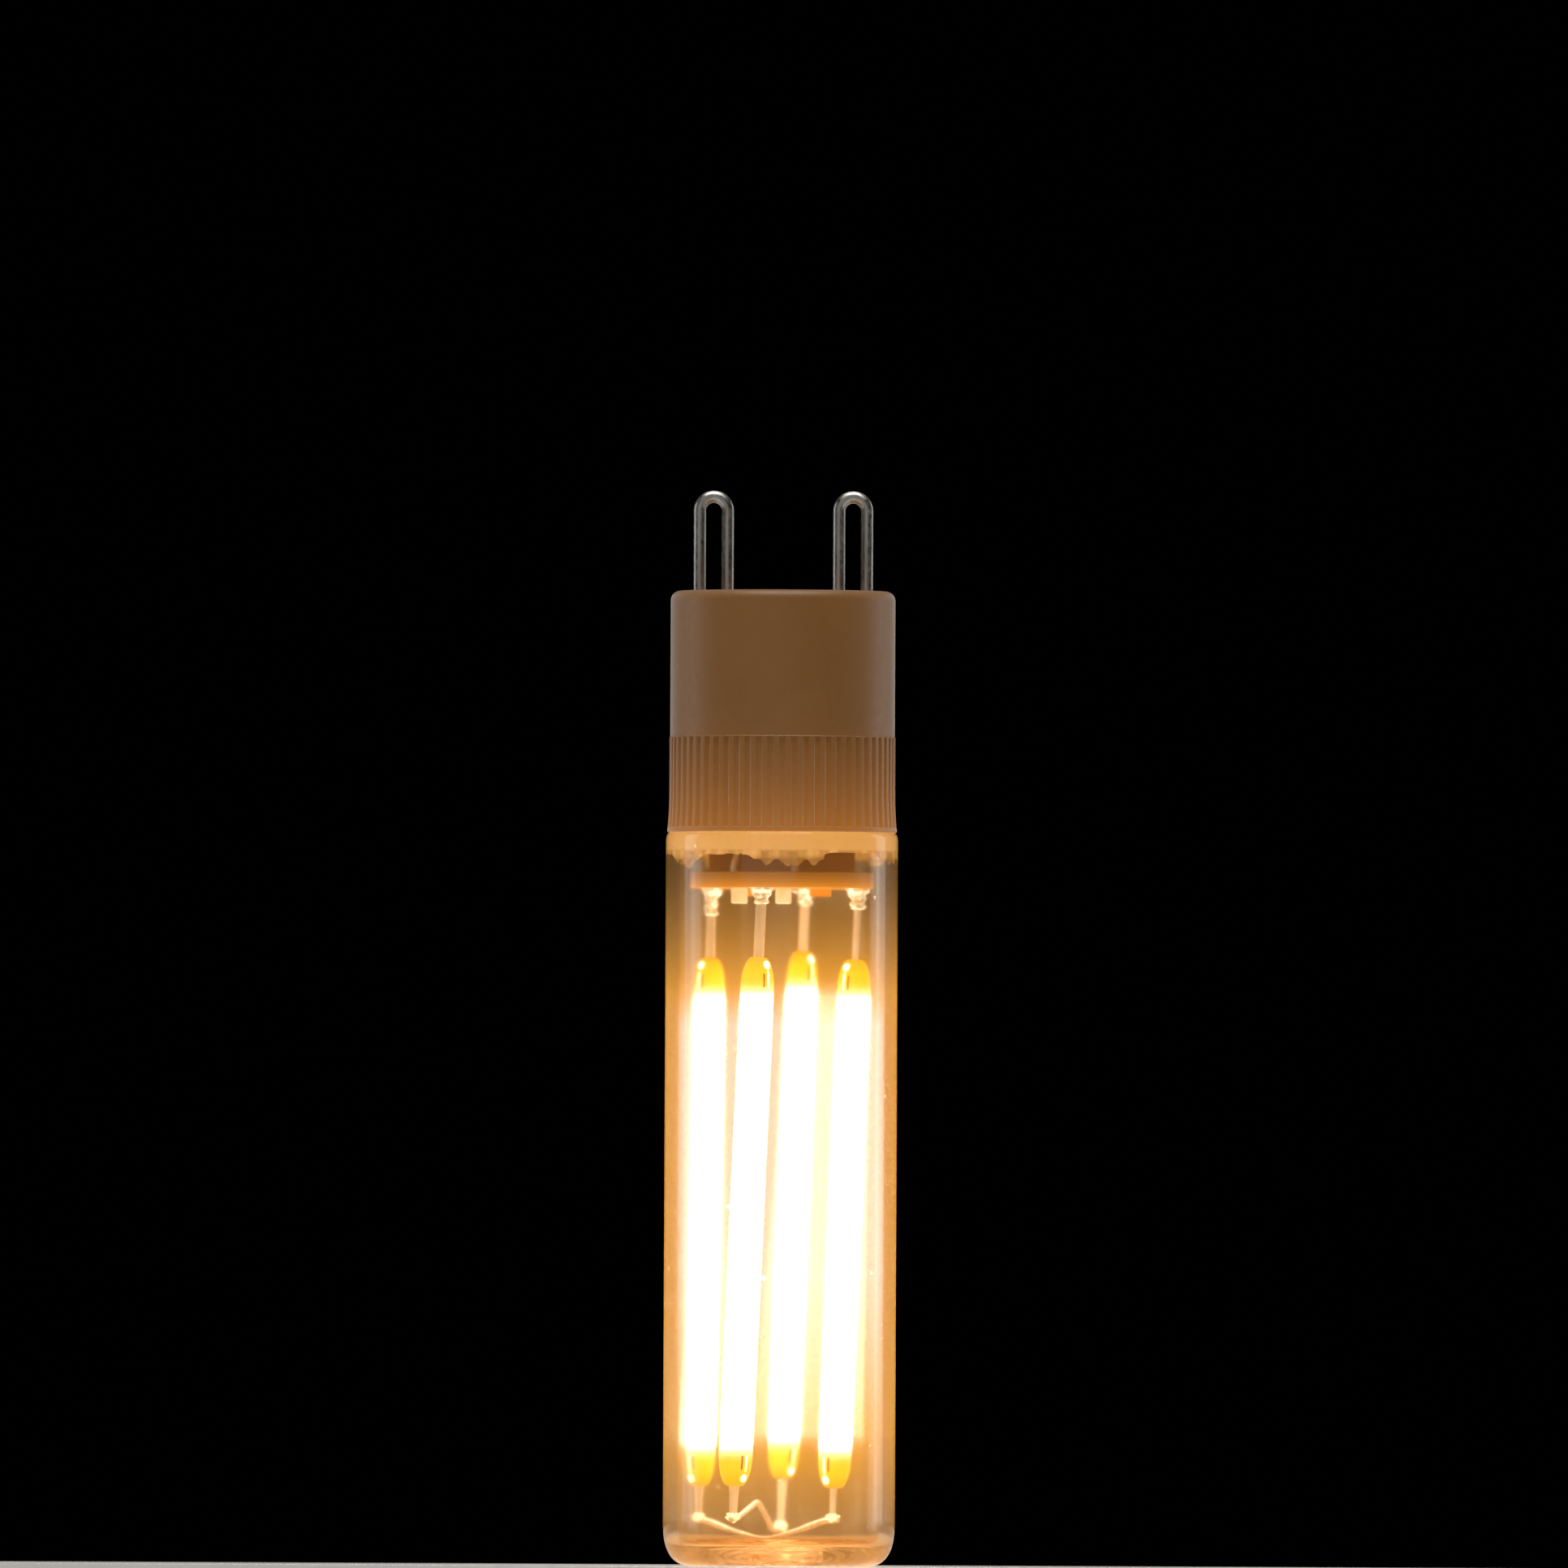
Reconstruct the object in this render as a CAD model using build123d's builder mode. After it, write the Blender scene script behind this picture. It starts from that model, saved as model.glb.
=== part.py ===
from build123d import *
import os
from math import cos, radians, sin, sqrt

# LED capsule lamp with a two-loop push-in base, in millimetres.
# A clear tube, closed by a flat end, covers four LED filaments that hang from a round board.
# A ribbed base on the tube's mouth holds the driver, and two wire loops on top are the contacts.
# Z = 0 is the tube's flat end, on which the lamp stands, +Z runs up the lamp's axis to the contact loops,
# and the two loops lie in the XZ plane.

# Clear tube
cover_diameter = 15.0
cover_wall = 0.9
cover_end_wall = 1.4
cover_corner_width = 1.6
cover_corner_height = 2.4
cover_inner_corner_width = 0.35
cover_inner_corner_height = 1.0
cover_lip_bevel_width = 0.25
cover_lip_bevel_height = 0.5

# Base housing
base_rim_inset = 0.08
base_flare = 0.13
base_flare_height = 2.6
base_rim_bevel = 0.12
base_height = 15.6
base_wall = 1.4
base_top_wall = 1.8
base_top_chamfer = 0.6
barrel_step = 0.04
spigot_length = 1.3
spigot_wall = 1.05
spigot_root = 1.2
rib_count = 60
rib_start = 0.35
rib_length = 5.8
groove_width = 0.48
groove_floor = 0.2
groove_depth = 0.18

# Adhesive between the tube and the base
glue_gap = 0.15
glue_bead_height = 0.5

# Contact loops
contact_pitch = 9.0
contact_wire = 0.8
contact_loop_width = 2.6
contact_height = 6.5
contact_tail = 4.5
contact_solder_length = 1.8
contact_solder_radius = 0.7
contact_solder_slot = 0.4

# Driver board and what it carries
driver_board_thickness = 1.0
driver_board_gap = 0.45
driver_board_headroom = 0.6
tenon_spacing = 5.0
tenon_width = 1.4
tenon_stub = 0.5
part_gap = 0.15
capacitor_diameter = 5.0
capacitor_length = 8.0
capacitor_headroom = 3.0
capacitor_crimp_depth = 0.25
capacitor_crimp_height = 0.8
capacitor_lead_spacing = 2.0
fuse_diameter = 1.9
fuse_length = 4.4
fuse_offset = 2.6
fuse_headroom = 6.6
component_lead = 0.5
component_lead_drop = 0.9
component_lead_bend = 0.4
package_standoff = 0.1
package_thickness = 1.4
package_leg_width = 0.5
package_leg_thickness = 0.2
package_leg_reach = 0.9
rectifier_width = 4.7
rectifier_height = 3.6
rectifier_leg_count = 2
rectifier_leg_pitch = 2.5
rectifier_headroom = 2.2
chip_width = 4.9
chip_height = 3.6
chip_leg_count = 4
chip_leg_pitch = 1.27
package_offset = 1.4
package_spacing = 6.2
sense_length = 2.0
sense_width = 1.25
sense_thickness = 0.5
sense_offset = 3.4
sense_headroom = 8.2

# Filament board and what it carries
filament_board_thickness = 1.0
filament_board_edge_gap = 0.68
filament_board_drop = 1.3
board_slot_gap = 0.05
feed_wire = 0.5
feed_wire_stand_out = 1.2
feed_wire_rise = 3.6
feed_wire_stub = 0.3
feed_wire_bend = 0.4
feed_wire_starts = (-2.0, 0.4)
feed_wire_ends = (-3.05, 0.85)
ceramic_length = 1.8
ceramic_width = 1.0
ceramic_height = 1.0
ceramic_places = ((-2.7, -2.2), (0.1, -2.4))
solder_radius = 0.8
solder_tip_radius = 0.45
solder_height = 0.9
solder_runs = (0.8, 0.1, 0.4, 0.1)

# Filaments
filament_count = 4
filament_diameter = 2.1
filament_length = 34.1
filament_tip_radius = 0.4
filament_tip_length = 2.0
filament_wall_gap = 0.65
filament_touch_gap = 0.1
filament_first_angle = 163.0
filament_leans = (1.1, 1.5, 1.2, 1.2)
filament_lifts = (-0.1, -0.1, -0.2, 0.4)
strip_width = 0.62
strip_thickness = 0.3
strip_twists = (90.0, 0.0, 0.0, 0.0)
upper_tab = 4.4
lower_tab = 2.1
lower_tab_extras = (0.0, 0.0, 0.0, 0.5)

# Jumper wires that join the filaments' lower ends in pairs
jumper_wire = 0.35
jumper_floor_gap = 0.1
jumper_drop = 1.35
jumper_landing = 0.45
jumper_bend = 0.6
jumper_hump = 1.45
jumper_dip = 0.2
jumper_hump_share = 0.5
jumper_dip_share = 0.83

# Levels up the lamp's axis
lower_tab_end = cover_end_wall + jumper_floor_gap + jumper_wire + jumper_drop
filament_bottom = lower_tab_end + lower_tab
filament_top = filament_bottom + filament_length
filament_board_bottom = filament_top + upper_tab
filament_board_top = filament_board_bottom + filament_board_thickness
spigot_bottom = filament_board_top + filament_board_drop
cover_length = spigot_bottom + spigot_length
rib_bottom = cover_length + rib_start
rib_top = rib_bottom + rib_length
base_top = cover_length + base_height
base_ceiling = base_top - base_top_wall
driver_board_top = base_ceiling - driver_board_headroom

# Radii and depths
cover_radius = cover_diameter / 2
cover_bore = cover_radius - cover_wall
cover_floor_radius = cover_bore - cover_inner_corner_width
base_rim_radius = cover_radius - base_rim_inset
base_radius = base_rim_radius - base_flare
barrel_radius = base_radius - barrel_step
cavity_radius = barrel_radius - base_wall
spigot_radius = cover_bore - glue_gap
spigot_bore = spigot_radius - spigot_wall
filament_radius = filament_diameter / 2
filament_circle_radius = cover_bore - filament_radius - filament_wall_gap
driver_board_front = contact_wire / 2
driver_board_back = driver_board_front + driver_board_thickness
driver_board_half_width = sqrt((spigot_bore - driver_board_gap) ** 2 - driver_board_back**2)
tail_x = contact_pitch / 2 - (contact_loop_width - contact_wire) / 2
outer_leg_x = contact_pitch / 2 + (contact_loop_width - contact_wire) / 2

os.makedirs("parts", exist_ok=True)


def filament_ends(number):
    """The lower and upper centre of one filament, which leans to -X until it nears the tube's wall."""
    angle = radians(filament_first_angle + number * 360 / filament_count)
    x = filament_circle_radius * cos(angle)
    y = filament_circle_radius * sin(angle)
    reach = cover_bore - filament_radius - filament_touch_gap
    lower_x = max(x - filament_leans[number], -sqrt(reach**2 - y**2))
    lift = filament_lifts[number]
    return Vector(lower_x, y, filament_bottom + lift), Vector(x, y, filament_top + lift)


def filament_plane(number):
    """A plane across one filament at its lower end, with its normal up the filament."""
    lower, upper = filament_ends(number)
    angle = radians(filament_first_angle + number * 360 / filament_count + 90 + strip_twists[number])
    return Plane(lower, x_dir=(cos(angle), sin(angle), 0), z_dir=upper - lower)


def filament_point(number, level):
    """Where one filament's centre line passes a level."""
    lower, upper = filament_ends(number)
    return lower + (upper - lower) * ((level - lower.Z) / (upper.Z - lower.Z))


# Clear tube, one turned wall with a flat end and an oval corner outside and inside
with BuildPart() as clear_cover:
    with BuildSketch(Plane.XZ):
        with BuildLine():
            Line((0, 0), (cover_radius - cover_corner_width, 0))
            EllipticalCenterArc(
                (cover_radius - cover_corner_width, cover_corner_height),
                cover_corner_width,
                cover_corner_height,
                start_angle=-90,
                arc_size=90,
            )
            Polyline(
                (cover_radius, cover_corner_height),
                (cover_radius, cover_length - cover_lip_bevel_height),
                (cover_radius - cover_lip_bevel_width, cover_length),
                (cover_bore, cover_length),
                (cover_bore, cover_end_wall + cover_inner_corner_height),
            )
            EllipticalCenterArc(
                (cover_floor_radius, cover_end_wall + cover_inner_corner_height),
                cover_inner_corner_width,
                cover_inner_corner_height,
                start_angle=-90,
                arc_size=90,
            )
            Polyline((cover_floor_radius, cover_end_wall), (0, cover_end_wall), (0, 0))
        make_face()
    revolve(axis=Axis.Z)
clear_cover.part.label = "clear_cover"
export_step(clear_cover.part, "parts/clear_cover.step")


# Base housing, a cup with its mouth down: a spigot in the tube, a flared ribbed grip and a plain barrel.
# The grooves between the ribs widen outwards, and their section runs on past the flare.
groove_reach = base_flare + groove_depth
groove_mouth = groove_floor + (groove_width - groove_floor) * (groove_reach + groove_depth) / groove_depth
with BuildPart() as base_housing:
    with BuildSketch(Plane.XZ):
        with BuildLine():
            Polyline(
                (spigot_bore, spigot_bottom),
                (spigot_radius, spigot_bottom),
                (spigot_radius, cover_length),
                (base_rim_radius - base_rim_bevel, cover_length),
                (base_rim_radius, cover_length + base_rim_bevel),
            )
            TangentArc(
                (base_radius, cover_length + base_flare_height),
                (base_rim_radius, cover_length + base_rim_bevel),
                tangent=(0, -1),
            )
            Polyline(
                (base_radius, cover_length + base_flare_height),
                (base_radius, rib_top),
                (barrel_radius, rib_top),
                (barrel_radius, base_top - base_top_chamfer),
                (barrel_radius - base_top_chamfer, base_top),
                (0, base_top),
                (0, base_ceiling),
                (cavity_radius, base_ceiling),
                (cavity_radius, cover_length + spigot_root),
                (spigot_bore, cover_length + spigot_root),
                (spigot_bore, spigot_bottom),
            )
        make_face()
    revolve(axis=Axis.Z)
    with BuildSketch(Plane.XY.offset(rib_bottom)):
        with PolarLocations(base_radius, rib_count):
            Polygon(
                (-groove_depth, -groove_floor / 2),
                (groove_reach, -groove_mouth / 2),
                (groove_reach, groove_mouth / 2),
                (-groove_depth, groove_floor / 2),
                align=None,
            )
    extrude(amount=rib_length, mode=Mode.SUBTRACT)
    with BuildSketch(Plane.XY.offset(base_ceiling)):
        with Locations((tail_x, 0), (outer_leg_x, 0), (-tail_x, 0), (-outer_leg_x, 0)):
            Circle(contact_wire / 2)
    extrude(amount=base_top_wall, mode=Mode.SUBTRACT)
base_housing.part.label = "base_housing"
export_step(base_housing.part, "parts/base_housing.step")


# Adhesive, a ring between spigot and tube whose bead creeps down the glass
with BuildPart() as cover_adhesive:
    with BuildSketch(Plane.XZ):
        with BuildLine():
            Polyline(
                (spigot_radius, spigot_bottom),
                (spigot_radius, cover_length),
                (cover_bore, cover_length),
                (cover_bore, spigot_bottom - glue_bead_height),
                (spigot_radius, spigot_bottom),
            )
        make_face()
    revolve(axis=Axis.Z)
cover_adhesive.part.label = "cover_adhesive"
export_step(cover_adhesive.part, "parts/cover_adhesive.step")


# Contact loops, bent from one round wire each: the outer leg ends in the base's top wall, the inner leg
# runs on down the driver board
for side, side_name in ((-1, "left"), (1, "right")):
    bend_level = base_top + contact_height - contact_loop_width / 2
    with BuildPart() as contact_loop:
        with BuildLine(Plane.XZ):
            Line((side * outer_leg_x, base_ceiling), (side * outer_leg_x, bend_level))
            ThreePointArc(
                (side * outer_leg_x, bend_level),
                (side * contact_pitch / 2, base_top + contact_height - contact_wire / 2),
                (side * tail_x, bend_level),
            )
            Line((side * tail_x, bend_level), (side * tail_x, base_ceiling - contact_tail))
        with BuildSketch(Plane.XY.offset(base_ceiling)):
            with Locations((side * outer_leg_x, 0)):
                Circle(contact_wire / 2)
        sweep()
    contact_loop.part.label = f"contact_loop_{side_name}"
    export_step(contact_loop.part, f"parts/contact_loop_{side_name}.step")


# Driver board, upright in the base, with two tenons down through the filament board
driver_board_height = driver_board_top - filament_board_top
tenon_length = filament_board_thickness + tenon_stub
with BuildPart() as driver_board:
    with BuildSketch(Plane.XZ.offset(-driver_board_back)):
        with Locations((0, filament_board_top)):
            Rectangle(
                2 * driver_board_half_width, driver_board_height, align=(Align.CENTER, Align.MIN)
            )
        with Locations((-tenon_spacing / 2, filament_board_top), (tenon_spacing / 2, filament_board_top)):
            Rectangle(tenon_width, tenon_length, align=(Align.CENTER, Align.MAX))
    extrude(amount=driver_board_thickness)
driver_board.part.label = "driver_board"
export_step(driver_board.part, "parts/driver_board.step")


# Solder that holds the contact loops' tails to the driver board
solder_level = base_ceiling - contact_tail + (contact_tail - driver_board_headroom) / 2
with BuildPart() as contact_solder:
    with BuildSketch(Plane.XY.offset(solder_level - contact_solder_length / 2)):
        with Locations((-tail_x, 0), (tail_x, 0)):
            Circle(contact_solder_radius)
        with Locations((-tail_x, 0), (tail_x, 0)):
            Circle(contact_wire / 2, mode=Mode.SUBTRACT)
            Rectangle(
                contact_solder_slot,
                contact_wire,
                align=(Align.CENTER, Align.MIN),
                mode=Mode.SUBTRACT,
            )
        with Locations((0, driver_board_front)):
            Rectangle(
                2 * contact_pitch, contact_pitch, align=(Align.CENTER, Align.MIN), mode=Mode.SUBTRACT
            )
    extrude(amount=contact_solder_length)
contact_solder.part.label = "contact_solder"
export_step(contact_solder.part, "parts/contact_solder.step")


# Smoothing capacitor, a rolled can in front of the driver board on two bent leads
capacitor_y = driver_board_front - part_gap - capacitor_diameter / 2
capacitor_top = base_ceiling - capacitor_headroom
capacitor_bottom = capacitor_top - capacitor_length
with BuildPart() as smoothing_capacitor:
    with BuildSketch(Plane.XY.offset(capacitor_bottom)):
        with Locations((0, capacitor_y)):
            Circle(capacitor_diameter / 2)
    extrude(amount=capacitor_length)
    chamfer(smoothing_capacitor.edges().filter_by(GeomType.CIRCLE), capacitor_crimp_depth)
    with BuildSketch(Plane.XY.offset(capacitor_bottom + capacitor_crimp_height)):
        with Locations((0, capacitor_y)):
            Circle(capacitor_diameter / 2)
            Circle(capacitor_diameter / 2 - capacitor_crimp_depth, mode=Mode.SUBTRACT)
    extrude(amount=capacitor_crimp_depth, mode=Mode.SUBTRACT)
    for lead_x in (-capacitor_lead_spacing / 2, capacitor_lead_spacing / 2):
        with BuildLine():
            FilletPolyline(
                (lead_x, capacitor_y, capacitor_bottom),
                (lead_x, capacitor_y, capacitor_bottom - component_lead_drop),
                (lead_x, driver_board_front, capacitor_bottom - component_lead_drop),
                radius=component_lead_bend,
            )
        with BuildSketch(Plane.XY.offset(capacitor_bottom)):
            with Locations((lead_x, capacitor_y)):
                Circle(component_lead / 2)
        sweep()
smoothing_capacitor.part.label = "smoothing_capacitor"
export_step(smoothing_capacitor.part, "parts/smoothing_capacitor.step")


# Fuse resistor, a small rod behind the driver board with both leads bent to it
fuse_y = driver_board_back + part_gap + fuse_diameter / 2
fuse_top = base_ceiling - fuse_headroom
fuse_bottom = fuse_top - fuse_length
with BuildPart() as fuse_resistor:
    with BuildSketch(Plane.XY.offset(fuse_bottom)):
        with Locations((-fuse_offset, fuse_y)):
            Circle(fuse_diameter / 2)
    extrude(amount=fuse_length)
    fillet(fuse_resistor.edges().filter_by(GeomType.CIRCLE), fuse_diameter / 4)
    for level, direction in ((fuse_bottom, -1), (fuse_top, 1)):
        with BuildLine():
            FilletPolyline(
                (-fuse_offset, fuse_y, level),
                (-fuse_offset, fuse_y, level + direction * component_lead_drop),
                (-fuse_offset, driver_board_back, level + direction * component_lead_drop),
                radius=component_lead_bend,
            )
        with BuildSketch(Plane.XY.offset(level)):
            with Locations((-fuse_offset, fuse_y)):
                Circle(component_lead / 2)
        sweep()
fuse_resistor.part.label = "fuse_resistor"
export_step(fuse_resistor.part, "parts/fuse_resistor.step")


# Rectifier and driver chip, moulded packages with bent legs along their upper and lower edges
rectifier_level = driver_board_top - rectifier_headroom - rectifier_height / 2
rectifier = (rectifier_width, rectifier_height, rectifier_leg_count, rectifier_leg_pitch)
chip = (chip_width, chip_height, chip_leg_count, chip_leg_pitch)
packages = (
    ("bridge_rectifier", rectifier_level, rectifier),
    ("driver_chip", rectifier_level - package_spacing, chip),
)
for package_name, level, (width, height, legs, pitch) in packages:
    body_y = driver_board_back + package_standoff
    leg_y = body_y + package_thickness / 2
    with BuildPart() as package:
        with BuildSketch(Plane.XZ.offset(-body_y - package_thickness)):
            with Locations((package_offset, level)):
                Rectangle(width, height)
        extrude(amount=package_thickness)
        chamfer(package.faces().sort_by(Axis.Y)[-1].edges(), package_leg_thickness)
        for direction in (-1, 1):
            with BuildSketch(Plane.XZ.offset(-leg_y - package_leg_thickness / 2)):
                with Locations((package_offset, level + direction * height / 2)):
                    with GridLocations(pitch, 0, legs, 1):
                        Rectangle(
                            package_leg_width,
                            package_leg_reach,
                            align=(Align.CENTER, Align.MIN if direction > 0 else Align.MAX),
                        )
            extrude(amount=package_leg_thickness)
            leg_end = level + direction * (height / 2 + package_leg_reach)
            with BuildSketch(Plane.XZ.offset(-leg_y)):
                with Locations((package_offset, leg_end)):
                    with GridLocations(pitch, 0, legs, 1):
                        Rectangle(
                            package_leg_width,
                            package_leg_thickness,
                            align=(Align.CENTER, Align.MAX if direction > 0 else Align.MIN),
                        )
            extrude(amount=leg_y - driver_board_back)
    package.part.label = package_name
    export_step(package.part, f"parts/{package_name}.step")


# Sense resistors, two chips on the driver board's front
sense_level = base_ceiling - sense_headroom
with BuildPart() as sense_resistors:
    with BuildSketch(Plane.XZ.offset(-driver_board_front)):
        with Locations((-sense_offset, sense_level), (sense_offset, sense_level)):
            Rectangle(sense_width, sense_length)
    extrude(amount=sense_thickness)
sense_resistors.part.label = "sense_resistors"
export_step(sense_resistors.part, "parts/sense_resistors.step")


# Filament board, a round plate below the base with slots for the tenons and holes for the feed wires
filament_board_radius = cover_bore - filament_board_edge_gap
feed_wire_y = driver_board_front - feed_wire_stand_out
tenon_y = (driver_board_front + driver_board_back) / 2
with BuildPart() as filament_board:
    with BuildSketch(Plane.XY.offset(filament_board_bottom)):
        Circle(filament_board_radius)
        with Locations((-tenon_spacing / 2, tenon_y), (tenon_spacing / 2, tenon_y)):
            Rectangle(
                tenon_width + 2 * board_slot_gap,
                driver_board_thickness + 2 * board_slot_gap,
                mode=Mode.SUBTRACT,
            )
        with Locations(*[(x, feed_wire_y) for x in feed_wire_ends]):
            Circle(feed_wire / 2 + board_slot_gap, mode=Mode.SUBTRACT)
    extrude(amount=filament_board_thickness)
filament_board.part.label = "filament_board"
export_step(filament_board.part, "parts/filament_board.step")


# Feed wires, from the driver board's front, slanting down through the filament board
feed_level = filament_board_top + feed_wire_rise
for start_x, end_x, side_name in zip(feed_wire_starts, feed_wire_ends, ("left", "right")):
    with BuildPart() as feed_wire_part:
        with BuildLine():
            FilletPolyline(
                (start_x, driver_board_front, feed_level),
                (start_x, feed_wire_y, feed_level),
                (end_x, feed_wire_y, filament_board_top + feed_wire),
                (end_x, feed_wire_y, filament_board_bottom - feed_wire_stub),
                radius=feed_wire_bend,
            )
        with BuildSketch(Plane.XZ.offset(-driver_board_front)):
            with Locations((start_x, feed_level)):
                Circle(feed_wire / 2)
        sweep()
    feed_wire_part.part.label = f"feed_wire_{side_name}"
    export_step(feed_wire_part.part, f"parts/feed_wire_{side_name}.step")


# Ceramic capacitors, two blocks under the filament board
with BuildPart() as ceramic_capacitors:
    with BuildSketch(Plane.XY.offset(filament_board_bottom)):
        with Locations(*ceramic_places):
            Rectangle(ceramic_width, ceramic_length)
    extrude(amount=-ceramic_height)
ceramic_capacitors.part.label = "ceramic_capacitors"
export_step(ceramic_capacitors.part, "parts/ceramic_capacitors.step")


# Filaments, each a metal carrier strip through a phosphor rod with bullet-shaped ends
upper_shoulder = filament_length - filament_tip_length
filament_strips = []
for number in range(filament_count):
    with BuildPart() as strip:
        with BuildSketch(filament_plane(number)):
            Rectangle(strip_width, strip_thickness)
        extrude(amount=filament_length + 2 * upper_tab)
        with BuildSketch(filament_plane(number)):
            Rectangle(strip_width, strip_thickness)
        extrude(amount=-2 * lower_tab)
        split(bisect_by=Plane.XY.offset(filament_board_bottom), keep=Keep.BOTTOM)
        split(bisect_by=Plane.XY.offset(lower_tab_end - lower_tab_extras[number]), keep=Keep.TOP)
    strip.part.label = f"filament_{number + 1}_strip"
    export_step(strip.part, f"parts/filament_{number + 1}_strip.step")
    filament_strips.append(strip.part)

    across = filament_plane(number)
    with BuildPart() as phosphor:
        with BuildSketch(Plane(across.origin, x_dir=across.x_dir, z_dir=-across.y_dir)):
            with BuildLine():
                Line((0, 0), (filament_tip_radius, 0))
                EllipticalCenterArc(
                    (filament_tip_radius, filament_tip_length),
                    filament_radius - filament_tip_radius,
                    filament_tip_length,
                    start_angle=-90,
                    arc_size=90,
                )
                Line((filament_radius, filament_tip_length), (filament_radius, upper_shoulder))
                EllipticalCenterArc(
                    (filament_tip_radius, upper_shoulder),
                    filament_radius - filament_tip_radius,
                    filament_tip_length,
                    start_angle=0,
                    arc_size=90,
                )
                Polyline((filament_tip_radius, filament_length), (0, filament_length), (0, 0))
            make_face()
        revolve(axis=Axis(across.origin, across.z_dir))
        with BuildSketch(across):
            Rectangle(strip_width, strip_thickness)
        extrude(amount=filament_length, mode=Mode.SUBTRACT)
    phosphor.part.label = f"filament_{number + 1}_phosphor"
    export_step(phosphor.part, f"parts/filament_{number + 1}_phosphor.step")


# Solder under the filament board, a hollow-sided cone round each filament's upper tab that runs on
# down the tab as a sleeve
with BuildPart() as filament_solder:
    for number in range(filament_count):
        joint = filament_point(number, filament_board_bottom)
        with BuildSketch(Plane(joint, x_dir=(1, 0, 0), z_dir=(0, -1, 0))):
            with BuildLine():
                Line((0, 0), (solder_radius, 0))
                TangentArc(
                    (solder_radius, 0), (solder_tip_radius, -solder_height), tangent=(-1, -1)
                )
                Polyline(
                    (solder_tip_radius, -solder_height),
                    (solder_tip_radius, -solder_height - solder_runs[number]),
                    (0, -solder_height - solder_runs[number]),
                    (0, 0),
                )
            make_face()
        revolve(axis=Axis(joint, (0, 0, 1)))
    for strip_part in filament_strips:
        add(strip_part, mode=Mode.SUBTRACT)
filament_solder.part.label = "filament_solder"
export_step(filament_solder.part, "parts/filament_solder.step")


def jumper_ends(first, second):
    """Wire centres under two filaments' lower tabs, and the level direction from one to the other."""
    start = filament_point(first, lower_tab_end - lower_tab_extras[first])
    end = filament_point(second, lower_tab_end - lower_tab_extras[second])
    down = Vector(0, 0, -jumper_wire / 2)
    level = Vector(end.X - start.X, end.Y - start.Y, 0)
    return start + down, end + down, level.normalized()


# Outer jumper, a shallow V from the left filament to the right one
start, end, along = jumper_ends(0, 2)
outer_points = (
    start - along * jumper_landing,
    start + along * jumper_landing,
    (start + end) / 2 - Vector(0, 0, jumper_drop),
    end - along * jumper_landing,
    end + along * jumper_landing,
)
with BuildPart() as outer_jumper:
    with BuildLine():
        FilletPolyline(*outer_points, radius=jumper_bend)
    with BuildSketch(Plane(outer_points[0], z_dir=along)):
        Circle(jumper_wire / 2)
    sweep()
outer_jumper.part.label = "outer_jumper"
export_step(outer_jumper.part, "parts/outer_jumper.step")


# Inner jumper, a crooked wire over the outer one from the front filament to the back one
start, end, along = jumper_ends(1, 3)
inner_points = (
    start - along * jumper_landing,
    start + along * jumper_landing,
    start + (end - start) * jumper_hump_share + Vector(0, 0, jumper_hump),
    start + (end - start) * jumper_dip_share - Vector(0, 0, jumper_dip),
    end - along * jumper_landing,
    end + along * jumper_landing,
)
with BuildPart() as inner_jumper:
    with BuildLine():
        FilletPolyline(*inner_points, radius=jumper_bend)
    with BuildSketch(Plane(inner_points[0], z_dir=along)):
        Circle(jumper_wire / 2)
    sweep()
inner_jumper.part.label = "inner_jumper"
export_step(inner_jumper.part, "parts/inner_jumper.step")
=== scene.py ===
"""Finished surfaces of a lit LED capsule lamp, and the plain stage that it stands on."""

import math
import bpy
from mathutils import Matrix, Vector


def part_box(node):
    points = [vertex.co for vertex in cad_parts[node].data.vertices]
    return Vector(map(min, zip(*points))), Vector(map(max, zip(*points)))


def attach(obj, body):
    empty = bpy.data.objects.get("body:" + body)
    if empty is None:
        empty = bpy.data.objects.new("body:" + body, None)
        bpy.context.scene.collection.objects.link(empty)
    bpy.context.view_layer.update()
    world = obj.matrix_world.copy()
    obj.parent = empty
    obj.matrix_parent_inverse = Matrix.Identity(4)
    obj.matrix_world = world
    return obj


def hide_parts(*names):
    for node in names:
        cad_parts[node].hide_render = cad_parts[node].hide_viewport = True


bl_info = {
    "name": "Capsule lamp finish",
    "version": (1, 0, 0),
    "blender": (4, 5, 0),
    "location": "3D View > Sidebar > Lamp",
    "description": "Builds the finished pieces of a lit LED capsule lamp on its construction model",
    "category": "Object",
}

import bmesh
import bpy
from bpy.props import FloatProperty, FloatVectorProperty, IntProperty, PointerProperty
from bpy.types import NodeSocket, Operator, Panel, PropertyGroup
from mathutils import Matrix, Vector, noise

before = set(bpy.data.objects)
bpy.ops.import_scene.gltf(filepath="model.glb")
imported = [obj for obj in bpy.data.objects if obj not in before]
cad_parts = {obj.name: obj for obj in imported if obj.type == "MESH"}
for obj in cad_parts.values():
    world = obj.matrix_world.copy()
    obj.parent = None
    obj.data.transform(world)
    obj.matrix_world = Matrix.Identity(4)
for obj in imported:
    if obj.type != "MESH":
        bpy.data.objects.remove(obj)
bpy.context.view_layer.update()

MM = 0.001
TINY = 1e-9
SAME_LEVEL = 0.01 * MM
UP = Vector((0, 0, 1))
CREASE = math.radians(38)

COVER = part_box("clear_cover")
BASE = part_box("base_housing")
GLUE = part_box("cover_adhesive")
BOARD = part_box("filament_board")
RIM = COVER[1].z
FILAMENTS = (1, 2, 3, 4)
SIDES = ((-1, "left"), (1, "right"))

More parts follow.
